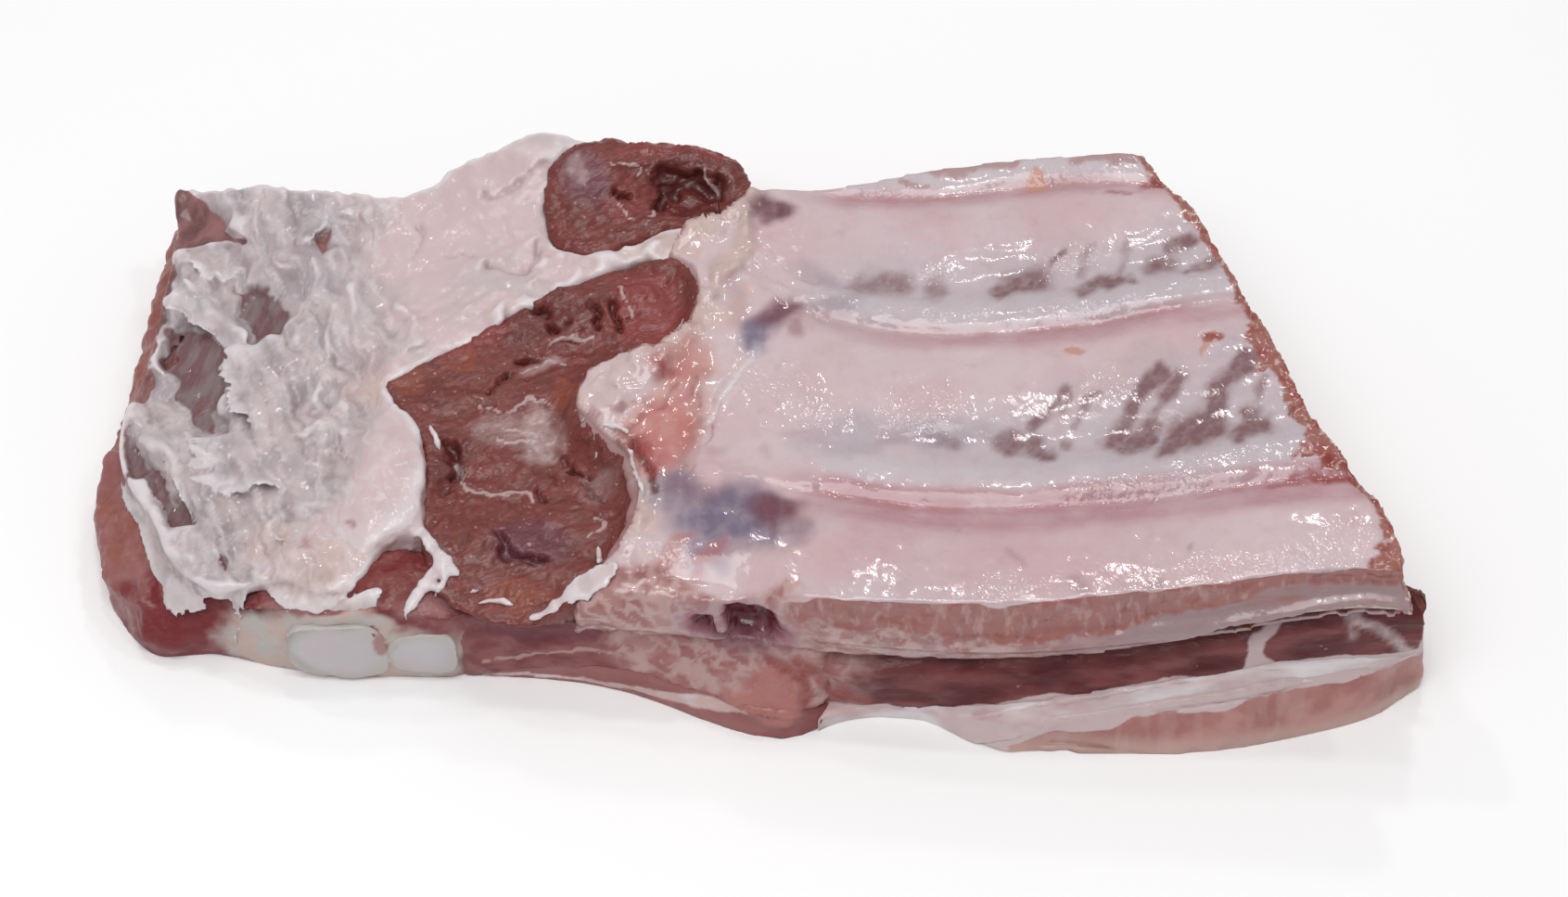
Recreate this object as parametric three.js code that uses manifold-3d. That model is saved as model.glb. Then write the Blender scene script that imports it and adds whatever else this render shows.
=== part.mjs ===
// A rack of raw pork spare ribs, three ribs wide, lying on its outer side with the rib side up.
// Units are millimetres. X runs along the ribs, from the breast edge (-X) to the sawn end (+X).
// Y runs from the cut front edge (-Y) to the back edge (+Y). Z is up and the slab rests on Z = 0.

import * as THREE from "three";
import { mergeVertices } from "three/addons/utils/BufferGeometryUtils.js";
import Module from "manifold-3d";

const wasm = await Module();
wasm.setup();

// Driving dimensions.
const SLAB_LENGTH = 237.5; // breast edge to the corner of the lowest layer at the sawn end
const SLAB_DEPTH = 118; // bulge of the belly meat at the front to the fat hump at the back
const SAWN_HEIGHT = 38.5; // rib side above the table at the sawn end
const BREAST_HEIGHT = 16; // fat above the table at the breast edge
const RIB_PITCH = 38; // from one vessel line to the next
const BONE_WIDTH = 13;
const BONE_THICKNESS = 6.8;
const BONE_FLOOR = 0.6; // meat left under a bone
const TISSUE_GAP = 0.3; // clearance between neighbouring tissues
const FINEST = 0.03; // the smallest facet step that is kept
const RIM_SHARE = 0.75; // where a muscle's rim lies between its lower and upper surface
const SAW_SLANT = 0.3; // how far the levels shift along X for each millimetre towards the back
const SAW_LEAN = 0.38; // how far the saw cut itself runs along X for each millimetre of depth

const LEFT = -SLAB_LENGTH / 2;
const RIGHT = SLAB_LENGTH / 2;
const FRONT = -SLAB_DEPTH / 2;
const BACK = SLAB_DEPTH / 2;

const { lerp, smoothstep } = THREE.MathUtils;

// Small helpers for curves and surfaces.

// A smooth function of one value through [place, value] pairs, level beyond both ends.
function profile(...knots) {
  const places = knots.map(([place]) => place);
  const values = knots.map(([, value]) => value);
  const curve = new THREE.CubicInterpolant(places, values, 1);
  return (place) => curve.evaluate(THREE.MathUtils.clamp(place, places[0], places.at(-1)))[0];
}

// A smooth open plan curve through a few [x, y] points.
function edge(points) {
  return new THREE.SplineCurve(points.map(([x, y]) => new THREE.Vector2(x, y)));
}

// A smooth closed plan outline through a few [x, y] points.
function outline(points) {
  const corners = points.map(([x, y]) => new THREE.Vector3(x, y, 0));
  return new THREE.CatmullRomCurve3(corners, true, "centripetal");
}

// A rounded swelling of the given height with its middle at (x, y).
function mound(px, py, { x, y, wide, deep, height }) {
  return height * Math.exp(-(((px - x) / wide) ** 2) - ((py - y) / deep) ** 2);
}

// The unevenness of torn and cut tissue: a few crossed waves, between about -1 and 1.
function unevenness(x, y, wavelength) {
  const k = (2 * Math.PI) / wavelength;
  const first = Math.sin(k * (x + 0.37 * y) + 1.3);
  const second = Math.sin(k * (0.83 * y - 0.52 * x) + 2.1);
  const third = Math.sin(k * (1.71 * x + 1.13 * y) + 0.4);
  return 0.45 * first + 0.35 * second + 0.2 * third;
}

// A point of the plan patch spanned by four edges, u along X and v from front to back.
function patchPoint(sides, u, v) {
  const front = sides.front.getPointAt(u);
  const back = sides.back.getPointAt(u);
  const left = sides.left.getPointAt(v);
  const right = sides.right.getPointAt(v);
  const frontCorners = sides.front.getPointAt(0).lerp(sides.front.getPointAt(1), u);
  const backCorners = sides.back.getPointAt(0).lerp(sides.back.getPointAt(1), u);
  const across = front.lerp(back, v);
  const along = left.lerp(right, u);
  return across.add(along).sub(frontCorners.lerp(backCorners, v));
}

// A plan patch. The left and right edges give only the points between the front and back corners.
function patch({ front, back, left = [], right = [] }) {
  return {
    front: edge(front),
    back: edge(back),
    left: edge([front[0], ...left, back[0]]),
    right: edge([front.at(-1), ...right, back.at(-1)]),
  };
}

// Solids.

function solidOf(geometry) {
  const bare = geometry.clone();
  bare.deleteAttribute("normal");
  bare.deleteAttribute("uv");
  const merged = mergeVertices(bare, 1e-4);
  const vertProperties = merged.attributes.position.array;
  const triVerts = new Uint32Array(merged.index.array);
  const solid = new wasm.Manifold(new wasm.Mesh({ numProp: 3, vertProperties, triVerts }));
  merged.dispose();
  return solid;
}

function geometryOf(solid) {
  const { vertProperties, triVerts } = solid.getMesh();
  const geometry = new THREE.BufferGeometry();
  geometry.setAttribute("position", new THREE.BufferAttribute(vertProperties, 3));
  geometry.setIndex(new THREE.BufferAttribute(triVerts, 1));
  geometry.computeVertexNormals();
  return geometry;
}

// A cut tissue. Cutting can leave loose scraps at thin corners, so only the largest body is kept,
// and facets smaller than FINEST are joined to their neighbours.
function cut(solid, rooms) {
  const rest = rooms.reduce((left, room) => left.subtract(room), solid);
  const bodies = rest.decompose();
  const tissue = bodies.reduce((most, body) => (body.volume() > most.volume() ? body : most));
  return tissue.simplify(FINEST);
}

function moveVertices(geometry, place) {
  const position = geometry.attributes.position;
  const from = new THREE.Vector3();
  for (let i = 0; i < position.count; i += 1) {
    from.fromBufferAttribute(position, i);
    const to = place(from, geometry.attributes.uv.getX(i), geometry.attributes.uv.getY(i));
    position.setXYZ(i, to.x, to.y, to.z);
  }
  return geometry;
}

// A layer of tissue: a box fitted to a plan patch, between a lower and an upper surface.
// Its front wall leans back by frontLean from the bottom to the top.
function layer({ sides, top, bottom, cells, frontLean = 0 }) {
  const box = new THREE.BoxGeometry(1, 1, 1, ...cells).translate(0.5, 0.5, 0.5);
  moveVertices(box, ({ x: u, y: v, z: w }) => {
    const plan = patchPoint(sides, u, v);
    plan.y += frontLean * w * w * (1 - v) ** 3;
    const low = bottom(plan.x, plan.y);
    const high = top(plan.x, plan.y, u, v);
    return new THREE.Vector3(plan.x, plan.y, lerp(low, high, w));
  });
  return solidOf(box);
}

// A rod whose points are placed by how far along it they lie and by their place on a unit circle.
// Its two end rings are moved on past the ends by the given lengths.
function rod({ around, rings, place, past }) {
  const cylinder = new THREE.CylinderGeometry(1, 1, 1, around, rings);
  moveVertices(cylinder, ({ x: side, y, z: rise }) => {
    const along = y + 0.5;
    const point = place(along, side, rise);
    const atEnd = along < 1e-6 || along > 1 - 1e-6;
    if (atEnd && past) {
      const oneRingIn = place(lerp(along, 1 - along, 1 / rings), side, rise);
      const outwards = point.clone().sub(oneRingIn);
      point.add(outwards.setLength(along < 0.5 ? past[0] : past[1]));
    }
    return point;
  });
  return solidOf(cylinder);
}

// A muscle: a ball pressed out to a plan outline, between a lower and an upper surface.
// Its rim lies at RIM_SHARE of its thickness.
function muscle({ around, middle, top, bottom, segments }) {
  const ball = new THREE.SphereGeometry(1, ...segments);
  const centre = new THREE.Vector3(...middle, 0);
  moveVertices(ball, ({ y: height, x, z }, turn) => {
    const share = Math.min(1, Math.hypot(x, z));
    const reach = around.getPoint(1 - turn).sub(centre);
    const plan = centre.clone().addScaledVector(reach, share);
    const low = bottom(plan.x, plan.y);
    const high = top(plan.x, plan.y);
    const rim = lerp(low, high, RIM_SHARE);
    plan.z = lerp(height > 0 ? high : low, rim, share ** 8);
    return plan;
  });
  return solidOf(ball);
}

// Levels: heights above the table that neighbouring layers share.

// The levels follow the saw cut, which runs back at a slant.
const sawwards = (x, y) => x + SAW_SLANT * (y + 48);

const ribSideLevel = profile(
  [-40, 26], [-15, 28], [10, 30], [40, 31], [61, 33], [77, 34.5], [92, 37], [108, SAWN_HEIGHT],
);
const underRibsLevel = profile(
  [-120, 10], [-105, 12], [-88, 14.5], [-72, 17.5], [-55, 17], [-35, 15.5],
  [10, 17], [47, 18], [62, 20], [78, 22], [98, 26.5], [115, 28],
);
const overSeamLevel = profile([12, 3], [21, 3], [39, 5], [53, 8], [63, 10], [87, 13], [118, 13.5]);
const underSeamLevel = profile([38, 1.2], [46, 2.6], [54, 4.2], [63, 6.2], [87, 9.2], [118, 10.2]);
const pectoralLevel = profile([-50, 0.9], [-41, 3], [-26, 5], [-14, 6], [0, 5], [16, 4]);

// A lump of lean at the front, where the breast fat ends short of the cut edge.
const FRONT_LUMP = { x: -62, y: -36, wide: 7, deep: 6, height: 2.5 };

function underRibs(x, y) {
  return underRibsLevel(sawwards(x, y)) + mound(x, y, FRONT_LUMP);
}

function overSeam(x, y) {
  return overSeamLevel(sawwards(x, y));
}

function underSeam(x, y) {
  return underSeamLevel(sawwards(x, y));
}

const onTable = () => 0;
const above = (level) => (x, y) => level(x, y) + TISSUE_GAP;

// The rib plate: membrane, ribs and the meat between them, from the saw cut to the breast muscles.

// Y of the vessel lines that run along the back side of each rib.
const VESSEL_LINES = [
  profile([7, 46], [33, 43], [50, 44], [75, 42]),
  profile([7, 18], [32, 11], [57, 11], [86, 14]),
  profile([-8, -20], [15, -24], [31, -27], [63, -28], [100, -26]),
];

// The same lines at one x, from back to front, with one more beyond each edge of the slab.
function vesselLinesAt(x) {
  const [back, middle, front] = VESSEL_LINES.map((line) => line(x));
  return [back + RIB_PITCH, back, middle, front, front - RIB_PITCH];
}

// Height across one pitch, from a vessel groove over the rib and the meat valley to the next groove.
const ribSwell = profile(
  [0, -1], [0.08, 0.2], [0.3, 1.5], [0.5, 0.7], [0.66, -0.6], [0.86, 0.8], [0.94, 0.2], [1, -1],
);

// How far (x, y) lies between one vessel line, 0, and the next one towards the front, 1.
function ribPhase(x, y) {
  const lines = vesselLinesAt(x);
  const next = THREE.MathUtils.clamp(lines.findIndex((line) => line <= y), 1, lines.length - 1);
  return (lines[next - 1] - y) / (lines[next - 1] - lines[next]);
}

// Lumps of fat where the ribs meet the breast muscles.
const RIB_ROOT_LUMPS = [
  { x: -24, y: 2, wide: 6, deep: 5, height: 1.2 },
  { x: -15, y: 6, wide: 5, deep: 5, height: 1.4 },
  { x: -7, y: 28, wide: 5, deep: 12, height: 1.2 },
  { x: -18, y: -35, wide: 7, deep: 5, height: 1.5 },
  { x: -9, y: -9, wide: 7, deep: 8, height: -1.2 },
];

function ribSide(x, y) {
  const swell = ribSwell(ribPhase(x, y)) * smoothstep(x, -6, 22);
  const lumps = RIB_ROOT_LUMPS.reduce((sum, lump) => sum + mound(x, y, lump), 0);
  return ribSideLevel(sawwards(x, y)) + swell + lumps;
}

// The seam between rib plate and breast fat. It runs hidden under the breast muscles.
const BREAST_SEAM = [
  [-30, -43], [-30, -25], [-36, -10], [-38, 0], [-34, 10], [-22, 24], [-14, 33], [-8, 41], [-3, 47.5],
];

const PLATE_SIDES = patch({
  front: [
    BREAST_SEAM[0], [-17, -43.5], [-4, -45], [15, -48.5], [46, -50.5], [77, -49], [104, -48], [110, -49],
  ],
  back: [BREAST_SEAM.at(-1), [15, 46.5], [33, 48.5], [50, 49.5], [72, 48.5]],
  left: BREAST_SEAM.slice(1, -1),
  right: [[108, -37], [96, -9], [84, 26]],
});

// Rib bones. Each follows the plate from where it turns to cartilage to the saw cut.
const BONES = [
  { name: "rib_bone_1", across: 0.845, start: 0.27, depth: 6.5 },
  { name: "rib_bone_2", across: 0.495, start: 0.3, depth: 6.5 },
  { name: "rib_bone_3", across: 0.045, start: 0.3, depth: 9 },
];

function ribBone({ across, start, depth }, grow = 0) {
  const place = (along, side, rise) => {
    const u = lerp(start, 1, along);
    const middle = patchPoint(PLATE_SIDES, u, across);
    const taper = lerp(0.82, 1, smoothstep(along, 0, 0.5));
    const halfWidth = (BONE_WIDTH / 2) * taper + grow;
    const halfHeight = (BONE_THICKNESS / 2) * taper + grow;
    const alongSaw = SAW_LEAN * smoothstep(u, 0.8, 1);
    const belowTop = ribSideLevel(sawwards(middle.x, middle.y)) - depth;
    const aboveFloor = underRibs(middle.x, middle.y) + BONE_THICKNESS / 2 + BONE_FLOOR;
    const x = middle.x + side * halfWidth * alongSaw;
    const y = middle.y - side * halfWidth;
    return new THREE.Vector3(x, y, Math.max(belowTop, aboveFloor) + rise * halfHeight);
  };
  const past = grow > 0 ? [grow, 6] : null;
  return rod({ around: 12, rings: 12, place, past });
}

// Breast muscles: two dark skirt muscles, torn open, set into the fat.

const SKIRT_FRONT_OUTLINE = outline([
  [-66, 6], [-57, 12], [-42, 22], [-29, 29], [-19, 32], [-11, 30], [-9, 22], [-12, 12],
  [-20, 8], [-29, 4], [-31, -2], [-26, -8], [-20, -14], [-19, -24], [-22, -34], [-28, -41],
  [-36, -43.5], [-46, -42.5], [-54, -38], [-57, -30], [-58, -16], [-59, -6], [-63, 0],
]);
const SKIRT_FRONT_MIDDLE = [-42, 1];
const SKIRT_FRONT_FOLDS = [
  { x: -46, y: -28, wide: 9, deep: 7, height: 1.8 },
  { x: -28, y: -26, wide: 6, deep: 8, height: 1.4 },
  { x: -38, y: -14, wide: 12, deep: 3, height: -1.6 },
  { x: -45, y: 2, wide: 12, deep: 5, height: 1.4 },
  { x: -24, y: 22, wide: 10, deep: 5, height: 1.2 },
  { x: -34, y: 14, wide: 8, deep: 3, height: -1.5 },
  { x: -50, y: -18, wide: 6, deep: 3, height: -1.2 },
];

function skirtFrontTop(x, y) {
  const folds = SKIRT_FRONT_FOLDS.reduce((sum, fold) => sum + mound(x, y, fold), 0);
  const slope = 22.3 + 0.085 * y + 2 * smoothstep(y, 8, 28);
  return slope + folds + 0.5 * unevenness(x, y, 11);
}

const SKIRT_BACK_OUTLINE = outline([
  [-37.5, 51], [-33, 56], [-23, 58], [-11, 57.5], [-2, 53.5], [-1, 46],
  [-7, 39], [-16, 38.5], [-26, 34], [-36, 36], [-38.5, 43],
]);
const SKIRT_BACK_MIDDLE = [-20, 46];
const SKIRT_BACK_POCKET = { x: -13, y: 47, wide: 8, deep: 4.5, height: -5.5 };

function skirtBackTop(x, y) {
  const rise = lerp(28, 34, smoothstep(y, 36, 57));
  return rise + mound(x, y, SKIRT_BACK_POCKET) + 0.4 * unevenness(x, y, 9);
}

const SKIRTS = {
  skirt_front: {
    around: SKIRT_FRONT_OUTLINE,
    middle: SKIRT_FRONT_MIDDLE,
    top: skirtFrontTop,
    bottom: above(underRibs),
    segments: [34, 14],
  },
  skirt_back: {
    around: SKIRT_BACK_OUTLINE,
    middle: SKIRT_BACK_MIDDLE,
    top: skirtBackTop,
    bottom: above(underRibs),
    segments: [22, 12],
  },
};

// The room that a muscle takes in the fat and the rib plate: its own outline, grown by the gap.
function skirtRoom({ around, middle, segments }) {
  const points = around.getPoints(segments[0]).slice(0, -1);
  const centre = new THREE.Vector3(...middle, 0);
  const grown = points.map((point) => {
    const reach = point.sub(centre);
    return reach.setLength(reach.length() + TISSUE_GAP).add(centre);
  });
  const shape = new THREE.Shape(grown.map(({ x, y }) => new THREE.Vector2(x, y)));
  return solidOf(new THREE.ExtrudeGeometry(shape, { depth: 60, bevelEnabled: false }));
}

// Breast fat: torn sheets of fat over the lean at the breast end.

const FAT_SWELLINGS = [
  { x: -41, y: 56, wide: 12, deep: 8, height: 5.5 },
  { x: -62, y: -13, wide: 9, deep: 15, height: 2.6 },
  { x: -76, y: -32, wide: 9, deep: 6, height: 1.6 },
  { x: -104, y: 8, wide: 9, deep: 12, height: -2 },
];

// Torn sheets that lie on the fat, each an oval patch turned about Z and lifted at its rim.
const FAT_SHEETS = [
  { x: -85, y: 49, along: 17, across: 6, turn: -0.05, lift: 1.1 },
  { x: -103, y: 42, along: 8, across: 4.5, turn: 0.2, lift: 1.2 },
  { x: -103, y: 26, along: 11, across: 4, turn: -0.75, lift: 1.2 },
  { x: -82, y: 27, along: 10, across: 15, turn: 0.25, lift: 1.3 },
  { x: -90, y: 6, along: 9, across: 6, turn: 0.6, lift: 1.1 },
  { x: -103, y: -8, along: 20, across: 4, turn: -0.95, lift: 1.2 },
  { x: -77, y: -11, along: 15, across: 12, turn: -0.2, lift: 1.4 },
  { x: -102, y: -25, along: 8, across: 5, turn: -0.4, lift: 1.1 },
];

// Gaps between the sheets, where the lean shows through.
const FAT_GAPS = [
  { x: -106, y: 51, wide: 6, deep: 3.5, height: -1.6 },
  { x: -91, y: 31, wide: 6, deep: 3, height: -1.4 },
  { x: -104, y: 11, wide: 5, deep: 8, height: -1.6 },
  { x: -99, y: -3, wide: 4, deep: 6, height: -1.2 },
];

function sheetLift(px, py, { x, y, along, across, turn, lift }) {
  const dx = px - x;
  const dy = py - y;
  const a = (dx * Math.cos(turn) + dy * Math.sin(turn)) / along;
  const b = (dy * Math.cos(turn) - dx * Math.sin(turn)) / across;
  const rim = Math.hypot(a, b) + 0.12 * unevenness(px, py, 7);
  return lift * (1 - smoothstep(rim, 0.85, 1.15));
}

function fatSide(x, y) {
  const slope = lerp(BREAST_HEIGHT + 1, 28.5, (x - LEFT) / 112) + 0.045 * y;
  const swellings = FAT_SWELLINGS.reduce((sum, place) => sum + mound(x, y, place), 0);
  const sheets = FAT_SHEETS.reduce((sum, sheet) => sum + sheetLift(x, y, sheet), 0);
  const gaps = FAT_GAPS.reduce((sum, gap) => sum + mound(x, y, gap), 0);
  return Math.max(slope + swellings + sheets + gaps, underRibs(x, y) + 1.5);
}

const FAT_SEAM = BREAST_SEAM.map(([x, y]) => [x - TISSUE_GAP, y]);

const FAT_SIDES = patch({
  front: [
    [-93, -36], [-82, -35], [-74, -38.5], [-68, -36], [-64, -29], [-54, -27], [-40, -34], FAT_SEAM[0],
  ],
  back: [[-110, 56.5], [-85, 53], [-67, 50], [-54, 55], [-38, BACK], [-22, 56], FAT_SEAM.at(-1)],
  left: [[-101, -30], [-106, -20], [-114, -4], [-111, 20], [-109, 40]],
  right: FAT_SEAM.slice(1, -1),
});

// Lean under the breast fat, with its cut rim showing at the left and at the front corner.

const BREAST_END = -50; // where the breast lean meets the meat of the middle
const LEAN_END = BREAST_END - TISSUE_GAP / 2;
const LEAN_RIM_HEIGHT = 8;

const LEAN_SIDES = patch({
  front: [[-105.5, -38.5], [-95, -37], [-84, -40], [-66, -41.8], [LEAN_END, -42]],
  back: [[-111.5, 57], [-99, 55.5], [-85, 53], [-67, 50], [LEAN_END, 53]],
  left: [[-113, -31], [-116.5, -19], [LEFT, -5], [-116.5, 8], [-114, 29]],
});

function leanTop(x, y, u, v) {
  const leftRim = smoothstep(u, 0, 0.14);
  const frontRim = Math.max(smoothstep(v, 0, 0.1), smoothstep(x, -95, -86));
  const level = underRibs(x, y);
  const rim = Math.min(LEAN_RIM_HEIGHT + 0.6 * unevenness(x, y, 17), level);
  return lerp(rim, level, Math.min(leftRim, frontRim));
}

// Cartilage rods of the breast ends of the ribs, cut through at the front.

const CARTILAGES = [
  { name: "cartilage_1", x: -72.5, z: 8.4, wide: 8.7, high: 7, front: -43, back: -16 },
  { name: "cartilage_2", x: -57.3, z: 8, wide: 5.6, high: 5.2, front: -43.4, back: -20 },
];

function cartilage({ x, z, wide, high, front, back }, grow = 0) {
  const place = (along, side, rise) => {
    const round = 1 - 0.45 * along * along;
    const egg = 1 + 0.12 * side;
    const px = x + side * (wide * round + grow);
    const pz = z + rise * (high * round * egg + grow);
    return new THREE.Vector3(px, lerp(front, back, along), pz);
  };
  const past = grow > 0 ? [4, grow] : null;
  return rod({ around: 18, rings: 4, place, past });
}

// Meat of the middle: mottled brisket over a thin pectoral layer.

const FLANK_START = 12; // where the meat of the middle meets the layers under the ribs
const MIDDLE_LEFT = BREAST_END + TISSUE_GAP / 2;
const MIDDLE_RIGHT = FLANK_START - TISSUE_GAP / 2;

const BRISKET_SIDES = patch({
  front: [[MIDDLE_LEFT, -42.2], [-27, -43.5], [-14, -47], [-3, -50], [MIDDLE_RIGHT, -51]],
  back: [[MIDDLE_LEFT, 53], [-36, 57], [-20, 55], [-3, 48], [MIDDLE_RIGHT, 47]],
});

const PECTORAL_SIDES = patch({
  front: [[-47, -42], [-24, -45], [-3, -54], [6, -56], [MIDDLE_RIGHT, -54.5]],
  back: [[-47, 50], [-22, 50], [MIDDLE_RIGHT, 45]],
});

// Layers of the right half, under the ribs: dark flank meat, a seam of fat and the belly meat.

const LAYERS_LEFT = FLANK_START + TISSUE_GAP / 2;

const FLANK_SIDES = patch({
  front: [[LAYERS_LEFT, -52], [23, -51], [47, -51], [62, -50.5], [78, -49.5], [98, -47.5], [113, -46]],
  back: [[LAYERS_LEFT, 47], [33, 48], [50, 49], [72.5, 48.5]],
  right: [[110, -37], [98, -9], [85.5, 26]],
});

const SEAM_SIDES = patch({
  front: [
    [LAYERS_LEFT, -54], [19, -51], [29, -50.8], [39, -53.5], [53, -54],
    [63, -53.5], [87, -50.5], [103, -48], [117.3, -45],
  ],
  back: [[LAYERS_LEFT, 46], [33, 47.5], [50, 48.5], [72.5, 48]],
  right: [[112, -36], [99, -9], [86, 26]],
});

const BELLY_START = 40; // where the belly meat begins under the seam of fat

const BELLY_SIDES = patch({
  front: [[BELLY_START, -54], [46, -58], [63, FRONT], [80, -58.5], [97, -55], [112, -50], [RIGHT, -42]],
  back: [[BELLY_START, 48], [50, 48.5], [72, 47.5]],
  right: [[113, -33], [99, -8], [86, 26]],
});

// The room under the seam that the belly meat takes, open at the front, back and sawn end.
const BELLY_ROOM_SIDES = patch({
  front: [[BELLY_START - TISSUE_GAP, FRONT - 5], [RIGHT + 5, FRONT - 5]],
  back: [[BELLY_START - TISSUE_GAP, BACK + 5], [RIGHT + 5, BACK + 5]],
});

// Assembly.

const rack = new THREE.Group();
rack.name = "rack_of_pork_spare_ribs";

function addTissue(name, solid, colour, roughness) {
  const material = new THREE.MeshStandardMaterial({ color: colour, roughness, metalness: 0 });
  const mesh = new THREE.Mesh(geometryOf(solid), material);
  mesh.name = name;
  rack.add(mesh);
}

const skirtRooms = Object.values(SKIRTS).map(skirtRoom);
const boneRooms = BONES.map((bone) => ribBone(bone, TISSUE_GAP));
const cartilageRooms = CARTILAGES.map((end) => cartilage(end, TISSUE_GAP));

const plate = layer({
  sides: PLATE_SIDES,
  top: ribSide,
  bottom: above(underRibs),
  cells: [26, 30, 2],
  frontLean: 2,
});
const plateRooms = [...skirtRooms, ...boneRooms];
addTissue("rib_plate", cut(plate, plateRooms), "#cdb6b8", 0.35);

for (const bone of BONES) {
  addTissue(bone.name, ribBone(bone), "#c9b8ae", 0.5);
}

const fat = layer({ sides: FAT_SIDES, top: fatSide, bottom: above(underRibs), cells: [32, 32, 1] });
addTissue("breast_fat", cut(fat, skirtRooms), "#d3c3c2", 0.5);

addTissue("skirt_front", muscle(SKIRTS.skirt_front), "#78494a", 0.45);
addTissue("skirt_back", muscle(SKIRTS.skirt_back), "#74423e", 0.45);

const lean = layer({ sides: LEAN_SIDES, top: leanTop, bottom: onTable, cells: [16, 14, 2] });
addTissue("breast_lean", cut(lean, cartilageRooms), "#8a5655", 0.45);

for (const end of CARTILAGES) {
  addTissue(end.name, cartilage(end), "#bdb9bc", 0.35);
}

addTissue(
  "brisket_meat",
  layer({
    sides: BRISKET_SIDES,
    top: underRibs,
    bottom: above(pectoralLevel),
    cells: [12, 12, 2],
    frontLean: 4,
  }),
  "#a58180",
  0.45,
);
addTissue(
  "pectoral_meat",
  layer({ sides: PECTORAL_SIDES, top: pectoralLevel, bottom: onTable, cells: [10, 8, 2], frontLean: 2 }),
  "#946463",
  0.45,
);
addTissue(
  "flank_meat",
  layer({ sides: FLANK_SIDES, top: underRibs, bottom: above(overSeam), cells: [14, 10, 2], frontLean: 1.5 }),
  "#7d4f50",
  0.4,
);

const bellyRoom = layer({
  sides: BELLY_ROOM_SIDES,
  top: above(underSeam),
  bottom: () => -5,
  cells: [16, 12, 1],
});
const seam = layer({ sides: SEAM_SIDES, top: overSeam, bottom: onTable, cells: [18, 8, 1] });
addTissue("fat_seam", cut(seam, [bellyRoom]), "#c4b0ae", 0.45);

addTissue(
  "belly_meat",
  layer({ sides: BELLY_SIDES, top: underSeam, bottom: onTable, cells: [14, 10, 2], frontLean: 4.5 }),
  "#a98078",
  0.45,
);

export default rack;
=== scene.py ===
"""Dresses a raw slab of pork spare ribs: each tissue gets its relief, its painted zones and its finish.

Places are in millimetres in the slab's frame: X along the ribs towards the saw cut, Y from the cut
front edge to the back edge, Z up from the table. Meshes are in metres.
"""

import functools
import itertools
import math
from types import SimpleNamespace

import bpy
import numpy as np
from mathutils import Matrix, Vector
from mathutils.bvhtree import BVHTree
from mathutils.kdtree import KDTree


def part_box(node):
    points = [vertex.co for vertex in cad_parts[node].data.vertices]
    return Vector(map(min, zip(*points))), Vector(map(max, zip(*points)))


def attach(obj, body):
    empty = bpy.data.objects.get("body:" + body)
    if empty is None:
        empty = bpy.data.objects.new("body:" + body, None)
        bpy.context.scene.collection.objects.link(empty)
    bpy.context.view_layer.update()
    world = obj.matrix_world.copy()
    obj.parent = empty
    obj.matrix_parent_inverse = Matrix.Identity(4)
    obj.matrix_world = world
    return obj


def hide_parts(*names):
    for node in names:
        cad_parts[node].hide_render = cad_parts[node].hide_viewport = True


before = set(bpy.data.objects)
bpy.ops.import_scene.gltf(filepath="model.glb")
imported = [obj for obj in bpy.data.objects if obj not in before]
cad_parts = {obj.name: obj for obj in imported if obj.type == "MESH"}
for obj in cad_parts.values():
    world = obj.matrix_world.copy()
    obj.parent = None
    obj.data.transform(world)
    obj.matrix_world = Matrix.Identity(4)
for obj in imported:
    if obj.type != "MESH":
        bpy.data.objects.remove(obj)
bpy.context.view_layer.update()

bl_info = {
    "name": "Raw spare rib slab",
    "version": (1, 0, 0),
    "blender": (4, 5, 0),
    "location": "View3D > Sidebar > Slab",
    "description": "Dresses the tissues of a raw slab of pork spare ribs",
    "category": "Object",
}

MM = 0.001
BODY = "root"


# Small sums

def tint(red, green, blue):
    """The colour of a tissue, from screen values of 0 to 255 to the values that shaders use."""
    shares = (channel / 255 for channel in (red, green, blue))
    return tuple(s / 12.92 if s <= 0.04045 else ((s + 0.055) / 1.055) ** 2.4 for s in shares)


def ease(value, low, high):
    """0 below low, 1 above high, and a smooth rise between them."""
    share = np.clip((value - low) / (high - low), 0, 1)
    return share * share * (3 - 2 * share)


def blend(first, second, share):
    return first + (second - first) * share


def through(*knots):
    """A smooth curve through (place, value) knots, level beyond both ends."""
    at, value = np.array(knots, float).T
    slope = np.gradient(value, at)

    def curve(places):
        places = np.clip(places, at[0], at[-1])
        i = np.clip(np.searchsorted(at, places) - 1, 0, len(at) - 2)
        step = at[i + 1] - at[i]
        t = (places - at[i]) / step
        start = value[i] * (1 + 2 * t) * (1 - t) ** 2 + slope[i] * step * t * (1 - t) ** 2
        end = value[i + 1] * t * t * (3 - 2 * t) - slope[i + 1] * step * t * t * (1 - t)
        return start + end

    return curve


# Unevenness of tissue, the same in every run

CORNERS = [np.array(corner) for corner in itertools.product((0, 1), repeat=3)]
NEIGHBOURS = [np.array(cell) for cell in itertools.product((-1, 0, 1), repeat=3)]


def draw(cell, seed):
    """A fixed random draw between 0 and 1 for each whole-numbered cell."""
    i = cell.astype(np.int64)
    mixed = i[:, 0] * 374761393 + i[:, 1] * 668265263 + i[:, 2] * 1440662683 + seed * 974634877
    mixed = (mixed ^ (mixed >> 13)) * 1274126177
    mixed = mixed ^ (mixed >> 16)
    return (mixed & 0xFFFF) / 0xFFFF


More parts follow.
